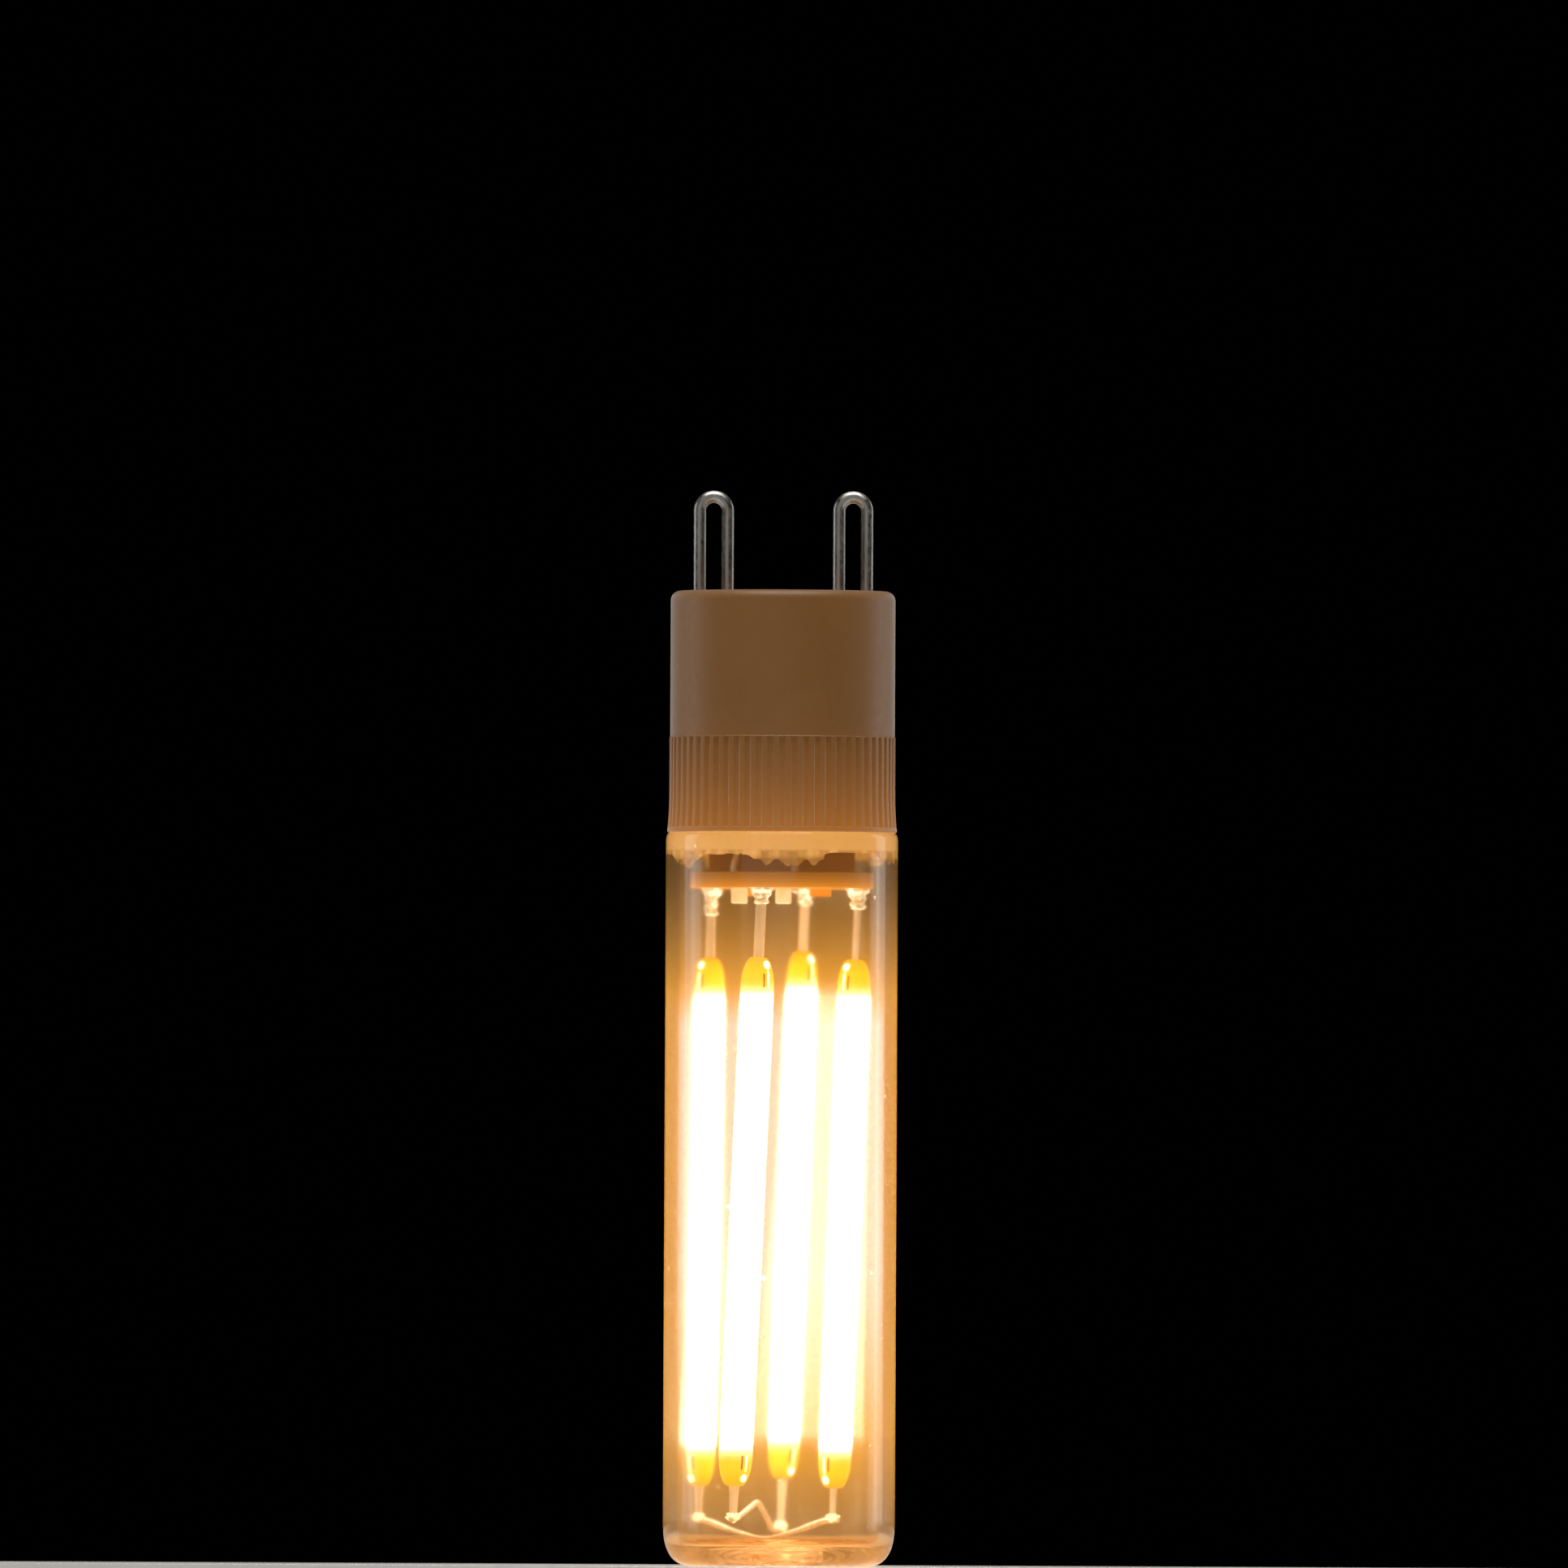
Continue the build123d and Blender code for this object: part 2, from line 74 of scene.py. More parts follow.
# Ranges that a mask and a fine height keep to
FULL = (0.0, 1.0)
FINE = (0.3, 0.7)

# Waves round the glue's lower edge: their number, their start, and the noise at which they set in
# and are full
GLUE_WAVES = ((3.1, 1.4, -0.35, 0.5), (11.0, 4.0, -0.6, 0.6), (34.0, 9.0, -0.6, 0.6))

# The carrier's edges at a rod's end, as a line of painted light and a line of painted shadow
# beside it: the way out from the rod's axis, and points in millimetres, each (distance along the
# rod from its end, distance out from its axis). The bead beside the light line carries a painted
# glint.
PAINTED_LIGHT_WAY, PAINTED_SHADOW_WAY = (0.68, -0.73), (0.42, -0.91)
BEAD = (0.55, 0.72)
PAINTED_LIGHT_EDGE = ((0.6, 0.76), (1.2, 0.97), (2.0, 1.03))
PAINTED_SHADOW_EDGE = ((1.05, 0.95), (1.5, 1.01), (1.95, 1.03))

# The floor's outline in metres, each point (radius, height), and where the lights point
FLOOR = (
    (0, 0),
    (0.12, 0),
    (0.25, 0),
    (0.258, -0.002),
    (0.26, -0.006),
    (0.26, -0.02),
    (0, -0.02),
)
LIT_POINT = Vector((0, 0, 0.035))


def length(label, description, metres):
    """A size that a user can set, in metres."""
    return FloatProperty(
        name=label, description=description, default=metres, unit="LENGTH", precision=5
    )


def colour(label, description, rgb):
    """A colour that a user can set."""
    return FloatVectorProperty(
        name=label, description=description, default=rgb, size=3, subtype="COLOR", min=0, max=1
    )


def amount(label, description, value):
    """A plain number that a user can set."""
    return FloatProperty(name=label, description=description, default=value)


class TubeSettings(PropertyGroup):
    """The clear tube."""

    radius: length("Radius", "Outer radius of the tube", COVER[1].x)
    height: length("Length", "Length of the tube", COVER[1].z)
    wall: length("Wall", "Thickness of the side wall", 0.9 * MM)
    floor: length("End wall", "Thickness of the flat closed end", 1.4 * MM)
    corner_width: length("Corner width", "Width of the oval outer corner", 2.0 * MM)
    corner_height: length("Corner height", "Height of the oval outer corner", 3.0 * MM)
    inner_width: length("Inner corner width", "Width of the oval inner corner", 0.44 * MM)
    inner_height: length("Inner corner height", "Height of the oval inner corner", 1.25 * MM)
    fullness: amount("Corner fullness", "How square the corners are: 2 is a plain oval", 2.6)
    lip_width: length("Lip width", "Width of the rounded lip at the mouth", 0.25 * MM)
    lip_height: length("Lip height", "Height of the rounded lip at the mouth", 0.5 * MM)
    ripple: length("Ripple", "Depth of the rings in the closed end", 0.12 * MM)
    ripple_pitch: length("Ripple pitch", "Distance between the rings", 0.85 * MM)
    waver: length("Waver", "Unevenness of the drawn glass", 0.012 * MM)
    segments: IntProperty(name="Segments", description="Faces round the tube", default=192)
    tint: colour("Tint", "Colour of the glass and its haze", (0.985, 0.91, 0.77))
    # The closed end's thick glass tint, with painted amber lamp light in it
    lamp_lit_end_tint: colour("End tint", "Colour of the closed end's thick glass", (0.84, 0.57, 0.27))
    clear: amount("Clearness", "Share of light that passes, the rest is haze", 0.985)
    frost: amount("Frost", "Roughness of the glass, which spreads the light", 0.1)
    glow: colour("Glow", "Light of the filaments caught in the glass", (0.26, 0.105, 0.007))
    bore_glow: colour("Bore glow", "More light on the bore by the rods", (0.76, 0.34, 0.58))
    speck: colour("Speck", "Light that a speck of dust catches", (0.5, 0.37, 0.2))
    glow_strength: amount("Glow strength", "Brightness of the caught light", 0.8)


class BaseSettings(PropertyGroup):
    """The ribbed base and its glue."""

    rim_bevel: length("Rim bevel", "Bevel at the rim on the tube's lip", 0.12 * MM)
    flare: length("Flare", "How far the rim stands out", 0.13 * MM)
    flare_height: length("Flare height", "Height of the flare", 2.6 * MM)
    step: length("Step", "Step from the ribs to the plain barrel", 0.04 * MM)
    top_chamfer: length("Top chamfer", "Chamfer round the top", 0.6 * MM)
    top_wall: length("Top wall", "Thickness of the top", 1.8 * MM)
    wall: length("Wall", "Thickness of the barrel", 1.4 * MM)
    spigot_wall: length("Spigot wall", "Thickness of the spigot in the tube", 1.05 * MM)
    spigot_root: length("Spigot root", "Height of the shoulder over the spigot", 1.2 * MM)
    glue_gap: length("Glue gap", "Width of the glue joint", 0.15 * MM)
    rib_start: length("Rib start", "Height of the grooves' lower ends over the rim", 0.35 * MM)
    rib_length: length("Rib length", "Length of the ribs", 5.8 * MM)
    groove_width: length("Groove width", "Width of a groove at the surface", 0.48 * MM)
    groove_floor: length("Groove floor", "Width of a groove at its floor", 0.2 * MM)
    groove_depth: length("Groove depth", "Depth of a groove", 0.18 * MM)
    ribs: IntProperty(name="Ribs", description="Ribs round the base", default=60)
    steps: IntProperty(name="Steps", description="Faces across one rib and groove", default=14)
    # The moulding's colour holds painted amber lamp light and painted shade; the moulding itself is
    # much paler
    plastic: colour("Plastic", "Colour of the moulding", (0.24, 0.12, 0.038))
    glue: colour("Glue", "Colour of the cured glue", (0.74, 0.58, 0.36))
    thin_glue: colour("Thin glue", "Colour of the glue where it runs thin", (0.36, 0.19, 0.06))
    glue_glow: colour("Glue glow", "Lamp light caught in the glue", (1.0, 0.47, 0.07))
    glow: colour("Glow", "Lamp light that soaks through the plastic", (1.0, 0.33, 0.045))
    glow_strength: amount("Glow strength", "Brightness of that light at the rim", 0.36)
    glow_reach: length("Glow reach", "How far that light climbs", 8.0 * MM)


class FilamentSettings(PropertyGroup):
    """The filaments and their wiring."""

    radius: length("Radius", "Radius of a phosphor rod", 1.05 * MM)
    tip_radius: length("Tip radius", "Radius of the flat at a rod's tip", 0.4 * MM)
    tip_length: length("Tip length", "Length of the bullet-shaped tip", 2.0 * MM)
    lumps: length("Lumps", "Unevenness of the phosphor", 0.03 * MM)
    strip_width: length("Strip width", "Width of the carrier strip", 0.62 * MM)
    tab_width: length("Tab width", "Width of the lower tab at its weld", 0.44 * MM)
    strip_thickness: length("Strip thickness", "Thickness of the carrier strip", 0.3 * MM)
    unlit: length("Unlit end", "Length of the yellow end of a rod", 0.9 * MM)
    fade: length("Fade", "Length over which the light comes up", 2.0 * MM)
    bead: length("Bead", "Radius of the bright bead at the carrier's end", 0.24 * MM)
    phosphor: colour("Phosphor", "Colour of the phosphor", (0.5, 0.25, 0.008))
    lit: colour("Light", "Colour of the light", (1.0, 0.84, 0.68))
    end_light: colour("End light", "Colour of the light at a rod's ends", (1.0, 0.55, 0.004))
    strength: amount("Strength", "Brightness of the light", 9.0)
    end_glow: amount("End glow", "Brightness of the yellow ends beside the lit part", 0.1)
    jumper: length("Jumper wire", "Radius of the jumper wires", 0.175 * MM)
    landing: length("Landing", "Level length of a jumper at a weld", 0.45 * MM)
    drop: length("Drop", "Depth of the outer jumper's V", 1.35 * MM)
    hump: length("Hump", "Height of the inner jumper's hump", 1.45 * MM)
    dip: length("Dip", "Depth of the inner jumper's dip", 0.2 * MM)
    hump_share: amount("Hump place", "Place of the hump along the inner jumper", 0.5)
    dip_share: amount("Dip place", "Place of the dip along the inner jumper", 0.83)
    bend: length("Bend", "Reach of a bend in the jumpers", 0.6 * MM)
    weld: length("Weld", "Radius of a weld bead", 0.4 * MM)
    glint: amount("Glint", "Brightness of the beads at the carriers' ends", 3.5)
    weld_glint: amount("Weld glint", "Brightness of the welds", 1.2)


class FittingSettings(PropertyGroup):
    """Contact loops, feed wires, solder and the boards."""

    contact: length("Contact wire", "Radius of the contact wire", 0.4 * MM)
    feed: length("Feed wire", "Radius of the feed wires", 0.25 * MM)
    feed_bend: length("Feed bend", "Reach of a bend in the feed wires", 0.5 * MM)
    solder_radius: length("Solder radius", "Radius of a solder cone on the board", 0.8 * MM)
    solder_tip: length("Solder tip", "Radius of a solder cone at its tip", 0.45 * MM)
    solder_height: length("Solder height", "Height of a solder cone", 0.9 * MM)
    solder_lumps: amount("Solder lumps", "Unevenness of the solder, as a share", 0.34)
    solder_glint: amount("Solder glint", "Brightness of the solder in the lamp's light", 0.9)
    steel: colour("Contact metal", "Colour of the plated contact wire", (0.66, 0.64, 0.60))
    nickel: colour("Nickel", "Colour of strips and jumpers", (0.78, 0.72, 0.62))
    nickel_glint: amount("Nickel glint", "Brightness of strips and jumpers when lit", 0.22)
    tin: colour("Tin", "Colour of solder and tinned wire", (0.84, 0.82, 0.77))
    # The laminate's colour holds painted amber lamp light: deeper and more orange than the board
    # itself
    board: colour("Board", "Colour of the tan laminate", (0.42, 0.17, 0.016))
    board_glow: colour("Board glow", "Lamp light in the laminate", (1.0, 0.34, 0.015))
    ceramic: colour("Ceramic", "Colour of the ceramic blocks", (0.72, 0.62, 0.48))
    cap_glint: amount("Cap glint", "Brightness of the blocks' tinned ends when lit", 0.45)
    epoxy: colour("Epoxy", "Colour of moulded packages", (0.012, 0.012, 0.013))
    sleeve: colour("Sleeve", "Colour of the capacitor's sleeve", (0.02, 0.022, 0.03))
    lacquer: colour("Lacquer", "Colour of the fuse resistor", (0.05, 0.13, 0.07))


class StageSettings(PropertyGroup):
    """Floor, backdrop, lights and camera."""

    floor: colour("Floor", "Colour of the floor", (0.70, 0.69, 0.67))
    backdrop: colour("Backdrop", "Colour behind the lamp", (0.0002, 0.0002, 0.0002))
    ambient: amount("Ambient", "Brightness of the light from all round", 0.06)
    strips: amount("Strips", "Power of each upright light beside the lamp", 0.34)
    key: amount("Key", "Power of the soft light overhead", 3.4)
    fill: amount("Fill", "Power of the wide dim light beside the camera", 0.4)
    distance: length("Distance", "Distance of the camera", 3.3)
    eye: length("Eye height", "Height of the camera over the floor", 1.6 * MM)
    aim_x: length("Aim across", "Where the picture's centre lies across", 0.11 * MM)
    aim_z: length("Aim up", "Where the picture's centre lies up the lamp", 50.55 * MM)
    frame_width: length("Frame width", "Width of the picture at the lamp", 101.3 * MM)
    roll: FloatProperty(
        name="Roll",
        description="Lean of the lamp in the picture",
        default=math.radians(0.27),
        subtype="ANGLE",
    )


def soft_mesh(name, form):
    """A smooth mesh of a bmesh form, which is freed, with its creases sharp."""
    mesh = bpy.data.meshes.new(name)
    form.to_mesh(mesh)
    form.free()
    mesh.shade_smooth()
    mesh.set_sharp_from_angle(angle=CREASE)
    return mesh


def closed_mesh(name, points, faces):
    """A smooth closed mesh with its normals outwards."""
    draft = bpy.data.meshes.new(name)
    draft.from_pydata(points, [], faces)
    form = bmesh.new()
    form.from_mesh(draft)
    bpy.data.meshes.remove(draft)
    bmesh.ops.recalc_face_normals(form, faces=form.faces)
    return soft_mesh(name, form)


def arc(centre, size, start, end, steps, fullness=2.0):
    """(radius, height) points along an oval arc, in degrees from the outward direction."""
    points = []
    for k in range(steps + 1):
        turn = math.radians(start + (end - start) * k / steps)
        out, over = (
            math.copysign(abs(x) ** (2 / fullness), x) for x in (math.cos(turn), math.sin(turn))
        )
        points.append((centre[0] + size[0] * out, centre[1] + size[1] * over))
    return points


def eased(value, low, high):
    """A value's share of the way from low to high, with a soft start and end."""
    share = min(1.0, max(0.0, (value - low) / (high - low)))
    return share * share * (3 - 2 * share)


def between(start, end, steps):
    """Evenly spaced points after start, up to and including end."""
    shares = [(k + 1) / steps for k in range(steps)]
    return [tuple(a + (b - a) * share for a, b in zip(start, end)) for share in shares]


def drum(angle, height=0.0):
    """A point on a drum of radius 1, round which noise closes on itself."""
    return Vector((math.cos(angle), math.sin(angle), height))


def half_noise(place):
    """Smooth noise from 0 to 1."""
    return 0.5 + 0.5 * noise.noise(place)


def turned(name, profile, segments, shape=None, loop=False):
    """A closed turned mesh of a (radius, height) profile, from axis to axis or in a loop."""
    points, rings, faces = [], [], []
    for radius, height in profile:
        if radius < TINY:
            rings.append([len(points)] * segments)
            points.append((0, 0, height))
            continue
        rings.append(range(len(points), len(points) + segments))
        for k in range(segments):
            angle = 2 * math.pi * k / segments
            r, z = shape(angle, radius, height) if shape else (radius, height)
            points.append((r * math.cos(angle), r * math.sin(angle), z))
    followers = rings[1:] + rings[:1] if loop else rings[1:]
    for lower, upper in zip(rings, followers):
        for k in range(segments):
            n = (k + 1) % segments
            corners = dict.fromkeys((lower[k], lower[n], upper[n], upper[k]))
            faces.append(list(corners))
    return closed_mesh(name, points, faces)


def bent(corners, reach, steps=8, most=0.45):
    """A path with each inner corner rounded off, over most of a leg at the furthest."""
    path = [corners[0]]
    for before, corner, after in zip(corners, corners[1:], corners[2:]):
        back, ahead = before - corner, after - corner
        start = corner + back.normalized() * min(reach, most * back.length)
        end = corner + ahead.normalized() * min(reach, most * ahead.length)
        for k in range(steps + 1):
            t = k / steps
            path.append(start * (1 - t) ** 2 + corner * 2 * t * (1 - t) + end * t**2)
    path.append(corners[-1])
    return path


def lofted(name, rings):
    """A closed bar through a row of rings that have as many points each."""
    sides, rows = len(rings[0]), len(rings)
    faces = []
    for row in range(0, (rows - 1) * sides, sides):
        for k in range(sides):
            n = (k + 1) % sides
            faces.append((row + k, row + n, row + sides + n, row + sides + k))
    faces.append(tuple(range(sides)))
    faces.append(tuple(range((rows - 1) * sides, rows * sides)))
    return closed_mesh(name, [point for ring in rings for point in ring], faces)


def domed(station, dome, turn):
    """One ring of a wire's domed end, which reaches no further than the end itself."""
    point, way, side, radius = station
    turn = math.radians(turn)
    inset = dome * radius * (math.sin(turn) - 1)
    return point + way * inset, way, side, radius * math.cos(turn)


def swept(name, path, radius, sides, dome=0.4):
    """A round wire along a path, with domed ends."""
    ways = [(b - a).normalized() for a, b in zip(path, path[1:])]
    ways = ways[:1] + [(a + b).normalized() for a, b in zip(ways, ways[1:])] + ways[-1:]
    side = ways[0].orthogonal().normalized()
    stations = []
    for k, (point, way) in enumerate(zip(path, ways)):
        if k:
            side = ways[k - 1].rotation_difference(way) @ side
        stations.append((point, way, side, radius))
    start = [domed(stations[0], -dome, turn) for turn in (68, 45, 22, 0)]
    end = [domed(stations[-1], dome, turn) for turn in (0, 22, 45, 68)]
    turns = [2 * math.pi * k / sides for k in range(sides)]
    rings = []
    for point, way, across, r in start + stations[1:-1] + end:
        over = way.cross(across)
        rings.append([point + (across * math.cos(t) + over * math.sin(t)) * r for t in turns])
    return lofted(name, rings)


def slab(name, low, high, bevel):
    """A block between two corners with rounded edges."""
    form = bmesh.new()
    place = Matrix.Translation((low + high) / 2) @ Matrix.Diagonal((*(high - low), 1.0))
    bmesh.ops.create_cube(form, size=1.0, matrix=place)
    bmesh.ops.bevel(
        form, geom=form.edges, offset=bevel, segments=4, profile=0.5, affect="EDGES"
    )
    return soft_mesh(name, form)


def ball(name, centre, radius, squash, lumps=0.0, seed=0.0):
    """A small rounded bead, scaled up and down by squash and uneven by lumps."""
    form = bmesh.new()
    bmesh.ops.create_icosphere(form, subdivisions=4, radius=1.0)
    lumps_across, shift = 2.3, Vector((seed, seed * 1.7, 0))
    for point in form.verts:
        swell = 1 + lumps * noise.noise(point.co * lumps_across + shift)
        flat = Vector((point.co.x, point.co.y, point.co.z * squash))
        point.co = centre + flat * radius * swell
    return soft_mesh(name, form)


def joined(name, meshes):
    """One mesh of several, each (mesh, index of its finish)."""
    form = bmesh.new()
    for mesh, finish in meshes:
        first = len(form.faces)
        form.from_mesh(mesh)
        form.faces.ensure_lookup_table()
        for face in form.faces[first:]:
            face.material_index = finish
        bpy.data.meshes.remove(mesh)
    return soft_mesh(name, form)


def dressed(name, mesh, finishes, slot, *nodes):
    """A finished piece of the lamp that stands for some of its construction nodes."""
    piece = bpy.data.objects.new(name, mesh)
    bpy.context.scene.collection.objects.link(piece)
    for finish in finishes:
        mesh.materials.append(finish)
    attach(piece, "root")
    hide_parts(*nodes)
    return piece


def points_of(node):
    """The points of a construction node."""
    return [point.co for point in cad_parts[node].data.vertices]


def end_centres(node):
    """The centres of a strip's lower and upper end."""
    points = points_of(node)
    ends = []
    for level in (min(p.z for p in points), max(p.z for p in points)):
        near = [p for p in points if abs(p.z - level) < SAME_LEVEL]
        ends.append(sum(near, Vector()) / len(near))
    return ends


def wire_up(tree, node, sockets):
    """Set a node's inputs, each a plain value or another node's output."""
    for name, value in sockets.items():
        if isinstance(value, NodeSocket):
            tree.links.new(value, node.inputs[name])
        else:
            node.inputs[name].default_value = value
    return node


def add(tree, kind, sockets=None, **settings):
    """A new node with its settings and inputs."""
    node = tree.nodes.new(kind)
    for name, value in settings.items():
        setattr(node, name, value)
    return wire_up(tree, node, sockets or {})


def maths(tree, operation, *values, clamp=False):
    """The result of a maths node."""
    sockets = dict(enumerate(values))
    node = add(tree, "ShaderNodeMath", sockets, operation=operation, use_clamp=clamp)
    return node.outputs[0]


def place_of(tree, space="Object"):
    """Where a point lies on its piece."""
    return add(tree, "ShaderNodeTexCoord").outputs[space]


def height_of(tree, space="Object"):
    """How high a point lies, in metres or as a share of its piece."""
    return add(tree, "ShaderNodeSeparateXYZ", {"Vector": place_of(tree, space)}).outputs["Z"]


def clouds(tree, place, scale, detail, roughness=0.5):
    """Cloudy noise."""
    sockets = {"Vector": place, "Scale": scale, "Detail": detail, "Roughness": roughness}
    return add(tree, "ShaderNodeTexNoise", sockets).outputs["Fac"]


def spread(tree, value, low, high, to_low=0.0, to_high=1.0, smooth=False):
    """A value moved from one range to another."""
    sockets = {"Value": value, "From Min": low, "From Max": high}
    sockets.update({"To Min": to_low, "To Max": to_high})
    way = "SMOOTHSTEP" if smooth else "LINEAR"
    node = add(tree, "ShaderNodeMapRange", sockets, interpolation_type=way)
    return node.outputs["Result"]


def blended(tree, share, first, second, way="MIX"):
    """Two colours mixed by a share, or the second added to the first."""
    sockets = {0: share, 6: first, 7: second}
    return add(tree, "ShaderNodeMix", sockets, data_type="RGBA", blend_type=way).outputs[2]


def rgba(rgb, level=1.0):
    """A colour with alpha, scaled in brightness."""
    return (rgb[0] * level, rgb[1] * level, rgb[2] * level, 1.0)


def add_sockets(group, labels, direction):
    """Named sockets of a node group: a colour if the name says so, or else a number."""
    for label in labels:
        kind = "NodeSocketColor" if label == "Color" else "NodeSocketFloat"
        group.interface.new_socket(label, in_out=direction, socket_type=kind)


def shared(tree, name, make, values):
    """The outputs of a node group that is made once and placed with a material's own values."""
    group = bpy.data.node_groups.get(name)
    if not group:
        group = bpy.data.node_groups.new(name, "ShaderNodeTree")
        add_sockets(group, values, "INPUT")
        made = make(group, group.nodes.new("NodeGroupInput").outputs)
        add_sockets(group, made, "OUTPUT")
        wire_up(group, group.nodes.new("NodeGroupOutput"), made)
    return add(tree, "ShaderNodeGroup", values, node_tree=group).outputs


def make_grain(group, given):
    """Uneven grain: a slow mask for colour and a fine height for bump."""
    place = place_of(group)
    slow = clouds(group, place, given["Scale"], detail=3.0, roughness=0.55)
    finer = maths(group, "MULTIPLY", given["Scale"], given["Fineness"])
    fine = clouds(group, place, finer, detail=4.0, roughness=0.6)
    return {"Mask": spread(group, slow, 0.34, 0.66, smooth=True), "Height": fine}


def make_specks(group, given):
    """Small round specks thrown over a surface: dust, bubbles and spatter."""
    sockets = {"Vector": place_of(group), "Scale": given["Scale"], "Randomness": 1.0}
    cells = add(group, "ShaderNodeTexVoronoi", sockets, feature="F1").outputs
    picked = add(group, "ShaderNodeSeparateColor", {"Color": cells["Color"]}).outputs["Red"]
    chosen = maths(group, "LESS_THAN", picked, given["Share"])
    inside = maths(group, "LESS_THAN", cells["Distance"], given["Size"])
    return {"Mask": maths(group, "MULTIPLY", chosen, inside)}


def make_streaks(group, given):
    """Fine draw marks along an upright wire or strip."""
    sizes = add(group, "ShaderNodeCombineXYZ", {"X": 1.0, "Y": 1.0, "Z": given["Stretch"]})
    sockets = {0: place_of(group), 1: sizes.outputs[0]}
    drawn = add(group, "ShaderNodeVectorMath", sockets, operation="MULTIPLY").outputs[0]
    marks = clouds(group, drawn, given["Scale"], detail=3.0)
    return {"Mask": spread(group, marks, 0.35, 0.65)}


def make_glow(group, given):
    """Lamp light caught in a piece: it climbs between two heights and sinks between two more."""
    height = height_of(group)
    climb = spread(group, height, given["Foot"], given["Rise"], given["Below"], 1.0)
    sink = spread(group, height, given["Fall"], given["Gone"], 1.0, 0.0)
    sink = maths(group, "POWER", sink, 2.0)
    sink = spread(group, sink, *FULL, given["Above"], 1.0)
    share = maths(group, "MULTIPLY", climb, sink)
    return {"Color": blended(group, share, (0, 0, 0, 1), given["Color"])}


def grain(tree, scale, fineness=4.0):
    """The grain's mask and height in a material."""
    return shared(tree, "Surface grain", make_grain, {"Scale": scale, "Fineness": fineness})


def specks(tree, scale, size, share):
    """The specks' mask in a material."""
    values = {"Scale": scale, "Size": size, "Share": share}
    return shared(tree, "Surface specks", make_specks, values)["Mask"]


def streaks(tree, scale, stretch=0.08):
    """The draw marks' mask in a material."""
    values = {"Scale": scale, "Stretch": stretch}
    return shared(tree, "Draw marks", make_streaks, values)["Mask"]


def glow(tree, rgb, fall, gone, foot=-1.0, rise=-0.5, below=1.0, above=0.0):
    """The colour of the caught lamp light in a material."""
    values = {"Foot": foot, "Rise": rise, "Fall": fall, "Gone": gone}
    values.update({"Below": below, "Above": above, "Color": rgba(rgb)})
    return shared(tree, "Caught light", make_glow, values)["Color"]


def bump(tree, height, strength, depth):
    """A bump normal from a height."""
    sockets = {"Height": height, "Strength": strength, "Distance": depth}
    return add(tree, "ShaderNodeBump", sockets).outputs["Normal"]


def kept_finish(name, make, *values):
    """A material that is made once, from the shader inputs that make gives."""
    material = bpy.data.materials.get(name)
    if not material:
        material = bpy.data.materials.new(name)
        material.use_nodes = True
        tree = material.node_tree
        tree.nodes.clear()
        shader = add(tree, "ShaderNodeBsdfPrincipled", make(tree, *values))
        add(tree, "ShaderNodeOutputMaterial", {"Surface": shader.outputs[0]})
    return material


def clear_glass(tree, tube):
    """Clear glass with a little haze, dust specks and the filaments' light caught in it."""
    above_end = spread(tree, height_of(tree), tube.floor, tube.corner_height, smooth=True)
    dust = specks(tree, scale=900.0, size=0.12, share=0.06)
    wave = grain(tree, scale=60.0, fineness=8.0)["Mask"]
    sockets = {0: place_of(tree), 1: (1, 1, 0)}
    level = add(tree, "ShaderNodeVectorMath", sockets, operation="MULTIPLY").outputs[0]
    out = add(tree, "ShaderNodeVectorMath", {0: level}, operation="LENGTH").outputs["Value"]
    inner, outer = tube.radius - 0.7 * tube.wall, tube.radius - 0.3 * tube.wall
    on_bore = spread(tree, out, inner, outer, 1.0, 0.0)
    within = add(tree, "ShaderNodeNewGeometry").outputs["Backfacing"]
    on_bore = maths(tree, "SUBTRACT", on_bore, within, clamp=True)
    skin_light = glow(
        tree, tube.glow, fall=37 * MM, gone=46.5 * MM,
        foot=1 * MM, rise=9 * MM, below=0.27, above=0.15,
    )
    bore_light = glow(
        tree, tube.bore_glow, fall=35 * MM, gone=38 * MM,
        foot=9 * MM, rise=19 * MM, below=0.0,
    )
    caught = blended(tree, on_bore, skin_light, bore_light, "ADD")
    return {
        # The closed end's colour holds painted amber lamp light
        "Base Color": blended(tree, above_end, rgba(tube.lamp_lit_end_tint), rgba(tube.tint)),
        "Roughness": spread(tree, dust, *FULL, tube.frost, 0.4),
        "IOR": 1.47,
        "Normal": bump(tree, wave, strength=0.05, depth=0.05 * MM),
        "Transmission Weight": tube.clear,
        "Emission Color": blended(tree, dust, caught, rgba(tube.speck)),
        "Emission Strength": tube.glow_strength,
    }


def base_plastic(tree, base):
    """Satin moulding in painted amber light and shade, with lamp light that soaks up from the rim.
    """
    tone = grain(tree, scale=260.0, fineness=9.0)
    soaked = glow(tree, base.glow, fall=RIM - 1.5 * MM, gone=RIM + base.glow_reach, above=0.16)
    return {
        # Painted amber lamp light and painted shade darken the moulding's colour
        "Base Color": blended(tree, tone["Mask"], rgba(base.plastic, 0.93), rgba(base.plastic)),
        "Roughness": spread(tree, tone["Height"], *FINE, 0.36, 0.52),
        "IOR": 1.5,
        "Normal": bump(tree, tone["Height"], strength=0.12, depth=0.02 * MM),
        "Subsurface Weight": 0.12,
        "Subsurface Radius": (0.9, 0.6, 0.35),
        "Subsurface Scale": 0.6 * MM,
        "Sheen Weight": 0.65,
        "Sheen Roughness": 0.4,
        "Sheen Tint": (0.84, 0.88, 0.88, 1),
        "Emission Color": soaked,
        "Emission Strength": base.glow_strength,
    }


